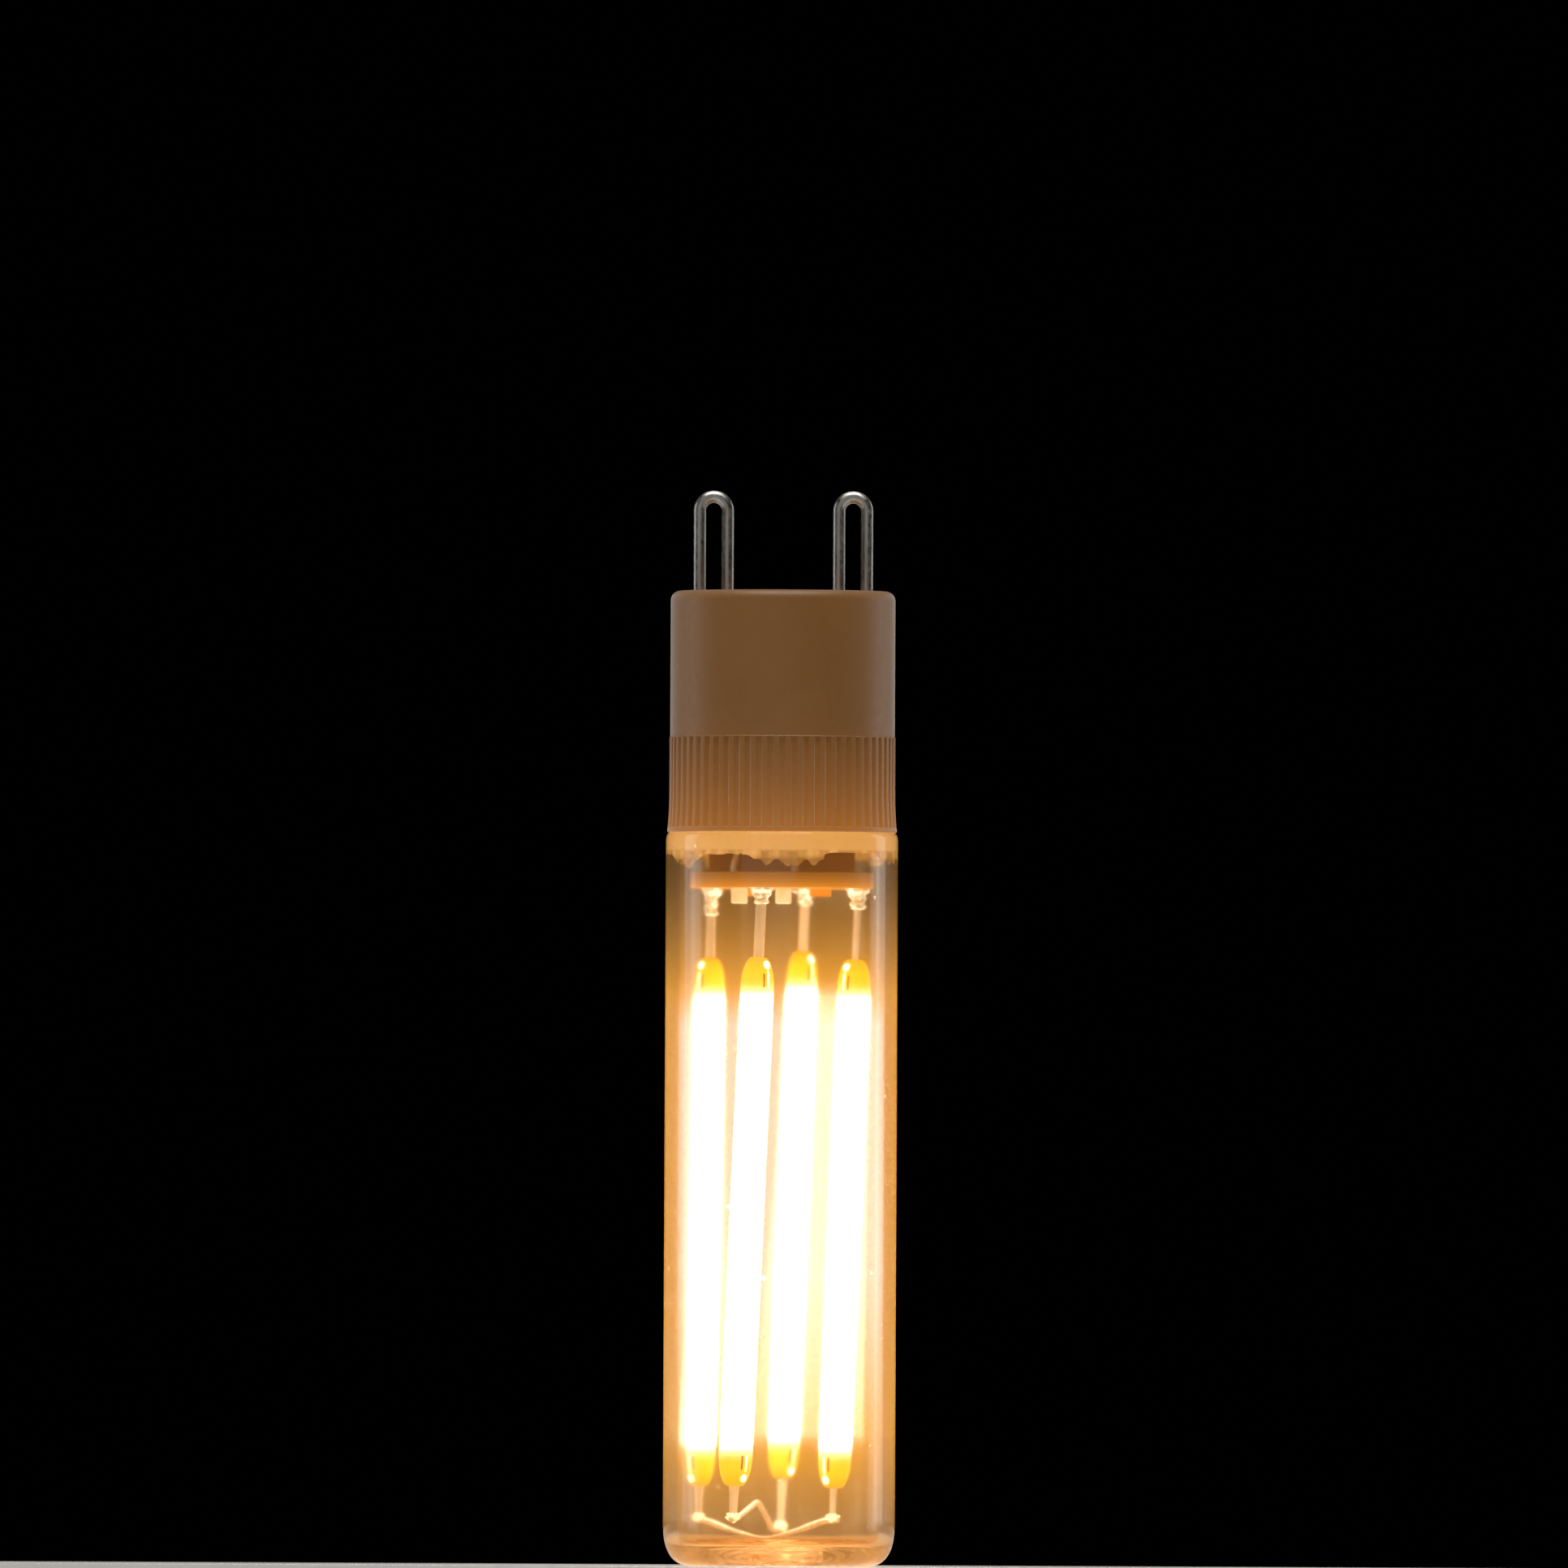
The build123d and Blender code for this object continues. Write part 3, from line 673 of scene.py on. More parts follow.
def cured_glue(tree, base):
    """Cloudy glue with runs and small bubbles, lit from below and thin at its lower edge."""
    height = height_of(tree)
    thick = BASE[0].z - 0.1 * MM
    solid = spread(tree, height, thick, BASE[0].z + 0.25 * MM, smooth=True)
    runs = streaks(tree, scale=1400.0, stretch=0.12)
    even = maths(tree, "MAXIMUM", runs, solid)
    bubbles = specks(tree, scale=1500.0, size=0.25, share=0.25)
    return {
        "Base Color": blended(tree, even, rgba(base.thin_glue), rgba(base.glue)),
        "Roughness": spread(tree, bubbles, *FULL, 0.42, 0.2),
        "IOR": 1.42,
        "Alpha": spread(tree, height, GLUE[0].z, thick, 0.25, 1.0),
        "Normal": bump(tree, runs, strength=0.4, depth=0.05 * MM),
        "Subsurface Weight": 0.3,
        "Subsurface Scale": 0.5 * MM,
        "Emission Color": blended(tree, even, rgba(base.glue_glow, 0.6), rgba(base.glue_glow)),
        "Emission Strength": 0.45,
    }


def lit_phosphor(tree, parts):
    """Yellow phosphor that shines along its middle and stays yellow at both ends."""
    low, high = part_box("filament_1_phosphor")
    whole = high.z - low.z
    dark, lit = parts.unlit / whole, (parts.unlit + parts.fade) / whole
    along = height_of(tree, "Generated")
    rising = spread(tree, along, dark, lit)
    setting = spread(tree, along, 1 - lit, 1 - dark, 1.0, 0.0)
    shining = maths(tree, "POWER", maths(tree, "MULTIPLY", rising, setting), 5.0)
    from_middle = maths(tree, "ABSOLUTE", maths(tree, "SUBTRACT", along, 0.5))
    near = spread(tree, from_middle, 0.5 - dark, 0.5, 1.0, 0.0)
    tip, root = (rgba(parts.end_light, share * parts.end_glow) for share in (0.65, 1.0))
    end = blended(tree, near, tip, root)
    tone = grain(tree, scale=900.0, fineness=5.0)
    return {
        "Base Color": rgba(parts.phosphor),
        "Roughness": spread(tree, tone["Mask"], *FULL, 0.3, 0.5),
        "IOR": 1.41,
        "Normal": bump(tree, tone["Height"], strength=0.25, depth=0.03 * MM),
        "Emission Color": blended(tree, shining, end, rgba(parts.lit)),
        "Emission Strength": parts.strength,
    }


def painted_glint(tree, brightness):
    """A bead of bright metal with a painted glint of the filaments' light."""
    tone = grain(tree, scale=1500.0)["Mask"]
    return {
        "Base Color": (0.9, 0.82, 0.68, 1),
        "Roughness": spread(tree, tone, *FULL, 0.2, 0.4),
        # Painted glint: emission standing in for the filaments' light on the bead
        "Emission Color": blended(tree, tone, (0.8, 0.55, 0.25, 1), (1.0, 0.8, 0.5, 1)),
        "Emission Strength": brightness,
    }


def painted_shadow_strip(tree):
    """Brown painted shadow in the gap beside the carrier, at the thin side of the phosphor."""
    tone = grain(tree, scale=2500.0)
    return {
        # Two browns of the painted shadow, mixed by grain
        "Base Color": blended(tree, tone["Mask"], (0.22, 0.05, 0.01, 1), (0.4, 0.13, 0.02, 1)),
        "Roughness": spread(tree, tone["Height"], *FINE, 0.5, 0.7),
    }


def drawn_metal(tree, rgb, rough, glint=0.0):
    """Drawn and plated wire or strip, with glints of lamp light."""
    marks = streaks(tree, scale=3000.0)
    stain = grain(tree, scale=500.0, fineness=6.0)
    worn = blended(tree, stain["Mask"], rgba(rgb, 0.78), rgba(rgb))
    return {
        "Base Color": blended(tree, marks, worn, rgba(rgb, 1.08)),
        "Metallic": 1.0,
        "Roughness": spread(tree, stain["Height"], *FINE, rough * 0.7, rough * 1.4),
        "Normal": bump(tree, marks, strength=0.06, depth=0.01 * MM),
        "Emission Color": blended(tree, marks, (0.7, 0.38, 0.16, 1), (1.0, 0.66, 0.36, 1)),
        "Emission Strength": glint,
    }


def bright_solder(tree, rgb, glint=0.0):
    """Tin solder, bright where it flowed and dull where it froze, with glints of lamp light."""
    frost = grain(tree, scale=700.0, fineness=5.0)
    sparkle = spread(tree, frost["Height"], 0.45, 0.62, smooth=True)
    return {
        "Base Color": blended(tree, frost["Mask"], rgba(rgb, 0.82), rgba(rgb)),
        "Metallic": 1.0,
        "Roughness": spread(tree, frost["Mask"], *FULL, 0.3, 0.6),
        "Normal": bump(tree, frost["Height"], strength=0.3, depth=0.04 * MM),
        "Emission Color": blended(tree, sparkle, (0.3, 0.15, 0.04, 1), (1.0, 0.86, 0.6, 1)),
        "Emission Strength": glint,
    }


def tan_laminate(tree, fittings):
    """Tan board with a layered edge and mottled resin, which the filaments light through."""
    sockets = {"Vector": place_of(tree), "Scale": 1600.0, "Distortion": 1.2}
    layers = add(tree, "ShaderNodeTexWave", sockets, bands_direction="Z").outputs["Fac"]
    resin = grain(tree, scale=420.0, fineness=6.0)
    # The board's colour holds painted amber lamp light
    body = blended(tree, resin["Mask"], rgba(fittings.board, 0.8), rgba(fittings.board))
    fall, gone = BOARD[0].z + 0.05 * MM, BOARD[1].z + 0.3 * MM
    return {
        "Base Color": blended(tree, layers, body, rgba(fittings.board, 1.12)),
        "Roughness": spread(tree, resin["Height"], *FINE, 0.35, 0.55),
        "IOR": 1.55,
        "Normal": bump(tree, layers, strength=0.15, depth=0.02 * MM),
        "Emission Color": glow(tree, fittings.board_glow, fall, gone, above=0.03),
        "Emission Strength": 0.5,
    }


def plain_body(tree, rgb, rough, coat=0.0):
    """Moulded, sleeved, lacquered or fired body of a small electric part."""
    tone = grain(tree, scale=900.0, fineness=5.0)
    dots = specks(tree, scale=4000.0, size=0.2, share=0.12)
    body = blended(tree, tone["Mask"], rgba(rgb, 0.82), rgba(rgb))
    return {
        "Base Color": blended(tree, dots, body, rgba(rgb, 1.25)),
        "Roughness": spread(tree, tone["Height"], *FINE, rough * 0.8, rough * 1.2),
        "IOR": 1.5,
        "Normal": bump(tree, tone["Height"], strength=0.2, depth=0.02 * MM),
        "Coat Weight": coat,
        "Coat Roughness": 0.15,
    }


def matt_floor(tree, rgb):
    """Plain matt board under the lamp."""
    tone = grain(tree, scale=30.0, fineness=20.0)
    return {
        "Base Color": blended(tree, tone["Mask"], rgba(rgb, 0.97), rgba(rgb)),
        "Roughness": spread(tree, tone["Height"], *FINE, 0.6, 0.75),
    }


def nickel(fittings):
    """The finish of the carrier strips and jumpers."""
    return kept_finish("drawn_nickel", drawn_metal, fittings.nickel, 0.48, fittings.nickel_glint)


def ceramic(fittings):
    """The finish of the ceramic blocks and chips."""
    return kept_finish("fired_ceramic", plain_body, fittings.ceramic, 0.45)


class LAMP_OT_tube(Operator):
    """Build the clear tube with its oval corner, soft lip and rippled end"""

    bl_idname = "lamp.tube"
    bl_label = "Clear tube"

    def execute(self, context):
        tube = context.scene.lamp_tube
        corner = (tube.corner_width, tube.corner_height)
        inner = (tube.inner_width, tube.inner_height)
        lip = (tube.lip_width, tube.lip_height)
        mouth = 0.5 * tube.lip_width
        bore = tube.radius - tube.wall
        foot = tube.radius - tube.corner_width
        bowl = bore - tube.inner_width
        bowl_top = tube.floor + tube.inner_height
        shoulder = tube.height - tube.lip_height
        full = tube.fullness
        profile = [(0, 0)]
        profile += between((0, 0), (foot, 0), steps=60)
        profile += arc((foot, tube.corner_height), corner, -90, 0, steps=32, fullness=full)[1:]
        profile += between((tube.radius, tube.corner_height), (tube.radius, shoulder), steps=24)
        profile += arc((tube.radius - tube.lip_width, shoulder), lip, 0, 90, steps=8)[1:]
        profile += arc((bore + mouth, tube.height - mouth), (mouth, mouth), 90, 180, steps=4)
        profile += between((bore, tube.height - mouth), (bore, bowl_top), steps=24)
        profile += arc((bowl, bowl_top), inner, 0, -90, steps=24, fullness=full)[1:]
        profile += between((bowl, tube.floor), (0, tube.floor), steps=72)
        wave, waves_round, wander = 6 * MM, 1.6, 0.6

        def waver(angle, radius, height):
            around = drum(angle, height / wave) * waves_round
            inwards = (bowl if height > 0.5 * tube.floor else foot) - radius
            if inwards > 0:
                turns = inwards / tube.ripple_pitch + wander * noise.noise(around)
                depth = tube.ripple * min(1.0, inwards / tube.ripple_pitch)
                return radius, height + depth * (1 - math.cos(2 * math.pi * turns))
            dent = tube.waver * half_noise(around)
            return radius - dent * min(1.0, height / tube.corner_height), height

        mesh = turned("tube", profile, tube.segments, waver)
        finishes = [kept_finish("clear_glass", clear_glass, tube)]
        piece = dressed("glass_tube", mesh, finishes, "cover_glass", "clear_cover")
        piece.visible_shadow = False
        return {"FINISHED"}


class LAMP_OT_base(Operator):
    """Build the ribbed base with its flared rim, spigot and plain barrel"""

    bl_idname = "lamp.base"
    bl_label = "Ribbed base"

    def execute(self, context):
        base = context.scene.lamp_base
        tube = context.scene.lamp_tube
        foot, top = BASE[0].z, BASE[1].z
        rim_radius = BASE[1].x
        grip = rim_radius - base.flare
        barrel = grip - base.step
        floor = grip - base.groove_depth
        spigot = tube.radius - tube.wall - base.glue_gap
        spigot_bore = spigot - base.spigot_wall
        spigot_root = RIM + base.spigot_root
        cavity = barrel - base.wall
        ceiling = top - base.top_wall
        rib_foot = RIM + base.rib_start
        rib_head = rib_foot + base.rib_length
        flare_top = RIM + base.flare_height
        pitch = 2 * math.pi / base.ribs
        edge = 0.05 * MM

        def flared(height):
            share = max(0.0, 1 - (height - RIM) / base.flare_height)
            return grip + base.flare * share**2, height

        def ribbed(angle, radius, height):
            if radius < barrel or not rib_foot - 0.5 * edge < height < rib_head - 0.5 * edge:
                return radius, height
            across = abs((angle / pitch + 0.5) % 1.0 - 0.5) * pitch * grip
            share = eased(across, base.groove_floor / 2, base.groove_width / 2)
            return floor + (radius - floor) * share, height

        profile = [(0, ceiling)]
        profile += between((0, ceiling), (cavity, ceiling), steps=2)
        profile += [(cavity, spigot_root), (spigot_bore, spigot_root)]
        profile += [(spigot_bore, foot + edge), (spigot_bore + edge, foot)]
        profile += [(spigot - edge, foot), (spigot, foot + edge), (spigot, RIM)]
        bevel = (base.rim_bevel, base.rim_bevel)
        rim_bend = (rim_radius - base.rim_bevel, RIM + base.rim_bevel)
        profile += arc(rim_bend, bevel, -90, 0, steps=5)
        profile += [flared(rib_foot + offset) for offset in (-edge, 0.0, edge)]
        flare, steps = flare_top - rib_foot - edge, 10
        profile += [flared(rib_foot + edge + flare * k / steps) for k in range(1, steps + 1)]
        profile += between((grip, flare_top), (grip, rib_head - edge), steps=4)
        profile += [(grip, rib_head), (barrel, rib_head + edge)]
        chamfer = (base.top_chamfer, base.top_chamfer)
        shoulder = (barrel - base.top_chamfer, top - base.top_chamfer)
        profile += between((barrel, rib_head + edge), (barrel, shoulder[1]), steps=4)
        profile += arc(shoulder, chamfer, 0, 90, steps=8)[1:]
        profile += between((shoulder[0], top), (0, top), steps=3)
        mesh = turned("base", profile, base.ribs * base.steps, ribbed)
        finishes = [kept_finish("ivory_moulding", base_plastic, base)]
        dressed("ribbed_base", mesh, finishes, "base_plastic", "base_housing")
        return {"FINISHED"}


class LAMP_OT_glue(Operator):
    """Build the ring of glue, with runs down the glass and one open bubble"""

    bl_idname = "lamp.glue"
    bl_label = "Glue ring"

    def execute(self, context):
        base = context.scene.lamp_base
        tube = context.scene.lamp_tube
        wetting, board_gap, thinnest = 0.006 * MM, 0.15 * MM, 0.05 * MM
        bore = tube.radius - tube.wall + wetting
        spigot = bore - base.glue_gap
        top, foot = GLUE[1].z - 0.02 * MM, BASE[0].z
        deepest = foot - BOARD[1].z - board_gap
        bubble_at, bubble_half = math.radians(-47), math.radians(20)

        def runs(angle):
            slow, quick, fine = (
                eased(noise.noise(drum(angle) * waves + UP * start), low, high)
                for waves, start, low, high in GLUE_WAVES
            )
            # A tenth of the way down all round, and further where the waves meet
            reach = deepest * (0.1 + slow * (0.35 + 0.4 * quick) + 0.15 * quick * fine)
            away = abs((angle - bubble_at + math.pi) % (2 * math.pi) - math.pi) / bubble_half
            if away < 1:
                # The bubble's outline, a square with well rounded corners
                reach *= 1 - (1 - away**4) ** 0.25
            return max(thinnest, reach)

        def run_down(angle, radius, height):
            if height > foot:
                return radius, height
            return radius, foot + (height - foot) * runs(angle) / deepest

        tip, skirt = bore - 0.12 * MM, foot - 0.8 * deepest
        profile = [(spigot, top), (bore, top)]
        profile += between((bore, foot), (bore, skirt), steps=6)
        profile += arc((tip, skirt), (0.12 * MM, 0.2 * deepest), 0, -90, steps=5)[1:]
        back = (tip, foot - 0.7 * deepest)
        profile += arc(back, (0.2 * MM, 0.3 * deepest), -90, -180, steps=5)[1:]
        profile += [(bore - 0.5 * MM, foot - 0.02 * MM), (spigot, foot - 0.01 * MM)]
        mesh = turned("glue", profile, segments=720, shape=run_down, loop=True)
        finishes = [kept_finish("cured_glue", cured_glue, base)]
        dressed("glue_ring", mesh, finishes, "adhesive", "cover_adhesive")
        return {"FINISHED"}


class LAMP_OT_contacts(Operator):
    """Build the two wire contact loops"""

    bl_idname = "lamp.contacts"
    bl_label = "Contact loops"

    def execute(self, context):
        fittings = context.scene.lamp_fittings
        top_wall = context.scene.lamp_base.top_wall
        top, steps = BASE[1].z, 24
        metal = kept_finish("plated_contact", drawn_metal, fittings.steel, 0.36)
        for side, name in SIDES:
            low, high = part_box(f"contact_loop_{name}")
            legs = (low.x + fittings.contact, high.x - fittings.contact)
            inner, outer = sorted(legs, key=abs)
            half = abs(outer - inner) / 2
            bend = Vector(((inner + outer) / 2, 0, high.z - fittings.contact - half))
            path = [Vector((outer, 0, z)) for z in (top - top_wall, top - 0.5 * top_wall, top)]
            for k in range(steps + 1):
                turn = math.pi * k / steps
                x, z = side * half * math.cos(turn), half * math.sin(turn)
                path.append(bend + Vector((x, 0, z)))
            path += [Vector((inner, 0, z)) for z in (top, low.z)]
            mesh = swept(f"contact_{name}", path, fittings.contact, sides=32)
            node = f"contact_loop_{name}"
            dressed(f"contact_wire_{name}", mesh, [metal], "contact_steel", node)
        return {"FINISHED"}


class LAMP_OT_filaments(Operator):
    """Build the four filaments: phosphor rods with bullet ends on carrier strips with tabs"""

    bl_idname = "lamp.filaments"
    bl_label = "Filaments"

    def execute(self, context):
        parts = context.scene.lamp_filaments
        phosphor = kept_finish("lit_phosphor", lit_phosphor, parts)
        finishes = [
            nickel(context.scene.lamp_fittings),
            # A painted glint for the beads and light lines, and painted shadow for the dark line
            # beside them
            kept_finish("painted_glint", painted_glint, parts.glint),
            kept_finish("painted_shadow_strip", painted_shadow_strip),
        ]
        for number in FILAMENTS:
            node = f"filament_{number}"
            lower, upper = end_centres(f"{node}_strip")
            axis = (upper - lower).normalized()
            low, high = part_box(f"{node}_phosphor")
            foot = lower + axis * ((low.z - lower.z) / axis.z)
            reach = (high.z - low.z) / axis.z
            lean = UP.rotation_difference(axis).to_matrix().to_4x4()
            rod = self.rod(parts, reach, number)
            rod.transform(Matrix.Translation(foot) @ lean)
            slot = "filament_phosphor"
            dressed(f"phosphor_rod_{number}", rod, [phosphor], slot, f"{node}_phosphor")
            weld_reach, widening = 1.2, 1.12
            steps = (
                (lower, parts.tab_width),
                (lower + axis * weld_reach * MM, parts.tab_width * widening),
                (foot, parts.strip_width),
                (foot + axis * reach, parts.strip_width),
                (upper, parts.strip_width),
            )
            pieces = [(self.strip(parts, f"{node}_strip", axis, steps), 0)]
            thin_side = -1 if number % 2 else 1
            for start, way in ((foot, axis), (foot + axis * reach, -axis)):
                pieces += self.carrier_end(parts, thin_side, start, way)
            mesh = joined(f"strip_{number}", pieces)
            dressed(f"carrier_strip_{number}", mesh, finishes, "strip_metal", f"{node}_strip")
        return {"FINISHED"}

    @staticmethod
    def rod(parts, reach, number):
        """One phosphor rod along Z, a little uneven, with a bullet at each end."""
        tip, shoulder = parts.tip_length, reach - parts.tip_length
        bullet = (parts.radius - parts.tip_radius, parts.tip_length)
        lump, apart = 1.8 * MM, 7
        profile = [(0, 0)]
        profile += arc((parts.tip_radius, tip), bullet, -90, 0, steps=16)
        profile += between((parts.radius, tip), (parts.radius, shoulder), steps=60)
        profile += arc((parts.tip_radius, shoulder), bullet, 0, 90, steps=16)[1:]
        profile.append((0, reach))

        def lumpy(angle, radius, height):
            around = drum(angle, height / lump + apart * number)
            return radius - parts.lumps * half_noise(around), height

        return turned(f"rod_{number}", profile, segments=48, shape=lumpy)

    @staticmethod
    def strip(parts, node, axis, steps):
        """One carrier strip through its (centre, width) steps, turned as its node is."""
        points = points_of(node)
        corner = min(points, key=lambda p: (p.z, p.x))
        level = [p for p in points if abs(p.z - corner.z) < SAME_LEVEL]
        level = [p for p in level if (p - corner).length > 0.1 * MM]
        edge = min(level, key=lambda p: abs((p - corner).length - parts.strip_width))
        across = (edge - corner).normalized()
        through = axis.cross(across).normalized()
        half = parts.strip_thickness / 2
        soft = 0.3 * half
        rings = []
        for centre, width in steps:
            outline = [(width / 2, half - soft), (width / 2 - soft, half)]
            outline += [(-x, y) for x, y in reversed(outline)]
            outline += [(-x, -y) for x, y in outline]
            rings.append([centre + across * x + through * y for x, y in outline])
        return lofted(f"{node}_bar", rings)

    @staticmethod
    def carrier_end(parts, side, start, way):
        """The bead and the carrier's lines of painted light and painted shadow at a rod's end."""

        def edge(points, x, y):
            outwards = Vector((side * x, y, 0)).normalized()
            return [start + way * along * MM + outwards * out * MM for along, out in points]

        # The bead and the line along the carrier's edge glow as a painted glint and painted light
        bead, *pale = edge((BEAD, *PAINTED_LIGHT_EDGE), *PAINTED_LIGHT_WAY)
        # A line of painted shadow in the gap beside the carrier's edge
        shadow_line = edge(PAINTED_SHADOW_EDGE, *PAINTED_SHADOW_WAY)
        return [
            (ball("bead", bead, parts.bead, squash=1.3), 1),
            (swept("painted_light_line", pale, 0.07 * MM, sides=8), 1),
            (swept("painted_shadow_line", shadow_line, 0.065 * MM, sides=8), 2),
        ]


class LAMP_OT_jumpers(Operator):
    """Build the two bent jumper wires and their welds under the filaments"""

    bl_idname = "lamp.jumpers"
    bl_label = "Jumper wires"

    def execute(self, context):
        parts = context.scene.lamp_filaments
        finishes = [
            nickel(context.scene.lamp_fittings),
            # The welds carry a painted glint of the filaments' light
            kept_finish("weld_painted_glint", painted_glint, parts.weld_glint),
        ]
        down = -UP * parts.jumper
        for name, first, second in (("outer", 1, 3), ("inner", 2, 4)):
            start = end_centres(f"filament_{first}_strip")[0] + down
            end = end_centres(f"filament_{second}_strip")[0] + down
            land = Vector((end.x - start.x, end.y - start.y, 0)).normalized() * parts.landing
            if name == "outer":
                middle = [(start + end) / 2 - UP * parts.drop]
            else:
                middle = [
                    start.lerp(end, parts.hump_share) + UP * parts.hump,
                    start.lerp(end, parts.dip_share) - UP * parts.dip,
                ]
            corners = [start - land, start + land, *middle, end - land, end + land]
            wire = swept(f"wire_{name}", bent(corners, parts.bend), parts.jumper, sides=20)
            pieces = [(wire, 0)]
            for place, seed in ((start, 1.0 + first), (end, 5.0 + first)):
                at = place - down * 0.9
                pieces.append((ball("weld", at, parts.weld, 0.7, lumps=0.5, seed=seed), 1))
            mesh = joined(f"jumper_{name}", pieces)
            dressed(f"jumper_wire_{name}", mesh, finishes, "jumper_wire", f"{name}_jumper")
        return {"FINISHED"}


class LAMP_OT_feeds(Operator):
    """Build the two feed wires that slant down into the round board"""

    bl_idname = "lamp.feeds"
    bl_label = "Feed wires"

    def execute(self, context):
        fittings = context.scene.lamp_fittings
        metal = kept_finish("tinned_lead", drawn_metal, fittings.tin, 0.28)
        for side, name in SIDES:
            low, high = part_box(f"feed_wire_{name}")
            near, far = low.x + fittings.feed, high.x - fittings.feed
            start_x, end_x = (near, far) if side > 0 else (far, near)
            y, top = low.y + fittings.feed, high.z - fittings.feed
            corners = [
                Vector((start_x, high.y, top)),
                Vector((start_x, y, top)),
                Vector((end_x, y, BOARD[1].z + 2 * fittings.feed)),
                Vector((end_x, y, low.z)),
            ]
            path = bent(corners, fittings.feed_bend)
            mesh = swept(f"feed_{name}", path, fittings.feed, sides=20)
            dressed(f"feed_lead_{name}", mesh, [metal], "tinned_wire", f"feed_wire_{name}")
        return {"FINISHED"}


class LAMP_OT_solder(Operator):
    """Build the uneven solder joints under the round board, each run down its tab"""

    bl_idname = "lamp.solder"
    bl_label = "Solder joints"

    def execute(self, context):
        fittings = context.scene.lamp_fittings
        points = points_of("filament_solder")
        pieces = []
        for number in FILAMENTS:
            joint = end_centres(f"filament_{number}_strip")[1]
            own = [p.z for p in points if (p - joint).length < 3 * fittings.solder_radius]
            mesh = self.cone(fittings, number, joint.z - min(own))
            mesh.transform(Matrix.Translation(joint))
            pieces.append((mesh, 0))
        mesh = joined("solder_joints", pieces)
        finishes = [kept_finish("lit_solder", bright_solder, fittings.tin, fittings.solder_glint)]
        dressed("solder_joints", mesh, finishes, "solder", "filament_solder")
        return {"FINISHED"}

    @staticmethod
    def cone(fittings, number, end):
        """One lumpy cone that hangs from the board and runs on as a sleeve to its end."""
        tip, wide = fittings.solder_tip, fittings.solder_radius
        rounding, steps, hollow = 0.2 * tip, 18, 2.2
        profile = [(0, 0), (0.5 * wide, 0)]
        for k in range(steps + 1):
            depth = end * k / steps
            narrowing = max(0.0, 1 - depth / fittings.solder_height) ** hollow
            profile.append((tip + (wide - tip) * narrowing, -depth))
        profile += arc((0, -end), (tip, rounding), 0, -80, steps=4)[1:]
        profile.append((0, -end - rounding))
        lump, lumps_round, apart = 0.4 * MM, 1.4, 3.1

        def uneven(angle, radius, height):
            around = drum(angle, height / lump) * lumps_round
            swell = noise.noise(around + Vector((apart * number, 0, 0)))
            return radius * (1 + fittings.solder_lumps * swell), height

        return turned(f"joint_{number}", profile, segments=48, shape=uneven)


class LAMP_OT_blocks(Operator):
    """Build the ceramic capacitors under the round board, with tinned ends"""

    bl_idname = "lamp.blocks"
    bl_label = "Ceramic blocks"

    def execute(self, context):
        fittings = context.scene.lamp_fittings
        low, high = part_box("ceramic_capacitors")
        points = points_of("ceramic_capacitors")
        middle = (low.x + high.x) / 2
        inset = Vector((0.03, 0, 0.03)) * MM
        pieces = []
        for side, _ in SIDES:
            own = [p for p in points if (p.x - middle) * side > 0]
            corner = Vector([min(p[k] for p in own) for k in range(3)])
            other = Vector([max(p[k] for p in own) for k in range(3)])
            cap = 0.22 * (other.y - corner.y)
            body_low = Vector((corner.x, corner.y + cap, corner.z)) + inset
            body_high = Vector((other.x, other.y - cap, other.z)) - Vector((inset.x, 0, 0))
            front = Vector((other.x, corner.y + cap, other.z))
            back = Vector((corner.x, other.y - cap, corner.z))
            pieces.append((slab("body", body_low, body_high, bevel=0.06 * MM), 0))
            pieces.append((slab("front_cap", corner, front, bevel=0.1 * MM), 1))
            pieces.append((slab("back_cap", back, other, bevel=0.1 * MM), 1))
        mesh = joined("blocks", pieces)
        # The tinned ends carry a painted glint of the filaments' light
        tinned = kept_finish("lit_cap", painted_glint, fittings.cap_glint)
        finishes = [ceramic(fittings), tinned]
        dressed("ceramic_blocks", mesh, finishes, "chip_ceramic", "ceramic_capacitors")
        return {"FINISHED"}


class LAMP_OT_boards(Operator):
    """Finish the boards and the driver's parts inside the base"""

    bl_idname = "lamp.boards"
    bl_label = "Boards and driver"

    def execute(self, context):
        fittings = context.scene.lamp_fittings
        laminate = kept_finish("tan_laminate", tan_laminate, fittings)
        epoxy = kept_finish("moulded_epoxy", plain_body, fittings.epoxy, 0.55)
        sleeve = kept_finish("shrink_sleeve", plain_body, fittings.sleeve, 0.35, 0.4)
        lacquer = kept_finish("lacquer", plain_body, fittings.lacquer, 0.3, 0.6)
        flowed = kept_finish("flowed_solder", bright_solder, fittings.tin)
        finishes = {
            "filament_board": laminate,
            "driver_board": laminate,
            "bridge_rectifier": epoxy,
            "driver_chip": epoxy,
            "smoothing_capacitor": sleeve,
            "fuse_resistor": lacquer,
            "sense_resistors": ceramic(fittings),
            "contact_solder": flowed,
        }
        for node, finish in finishes.items():
            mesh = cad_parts[node].data
            mesh.materials.clear()
            mesh.materials.append(finish)
        return {"FINISHED"}


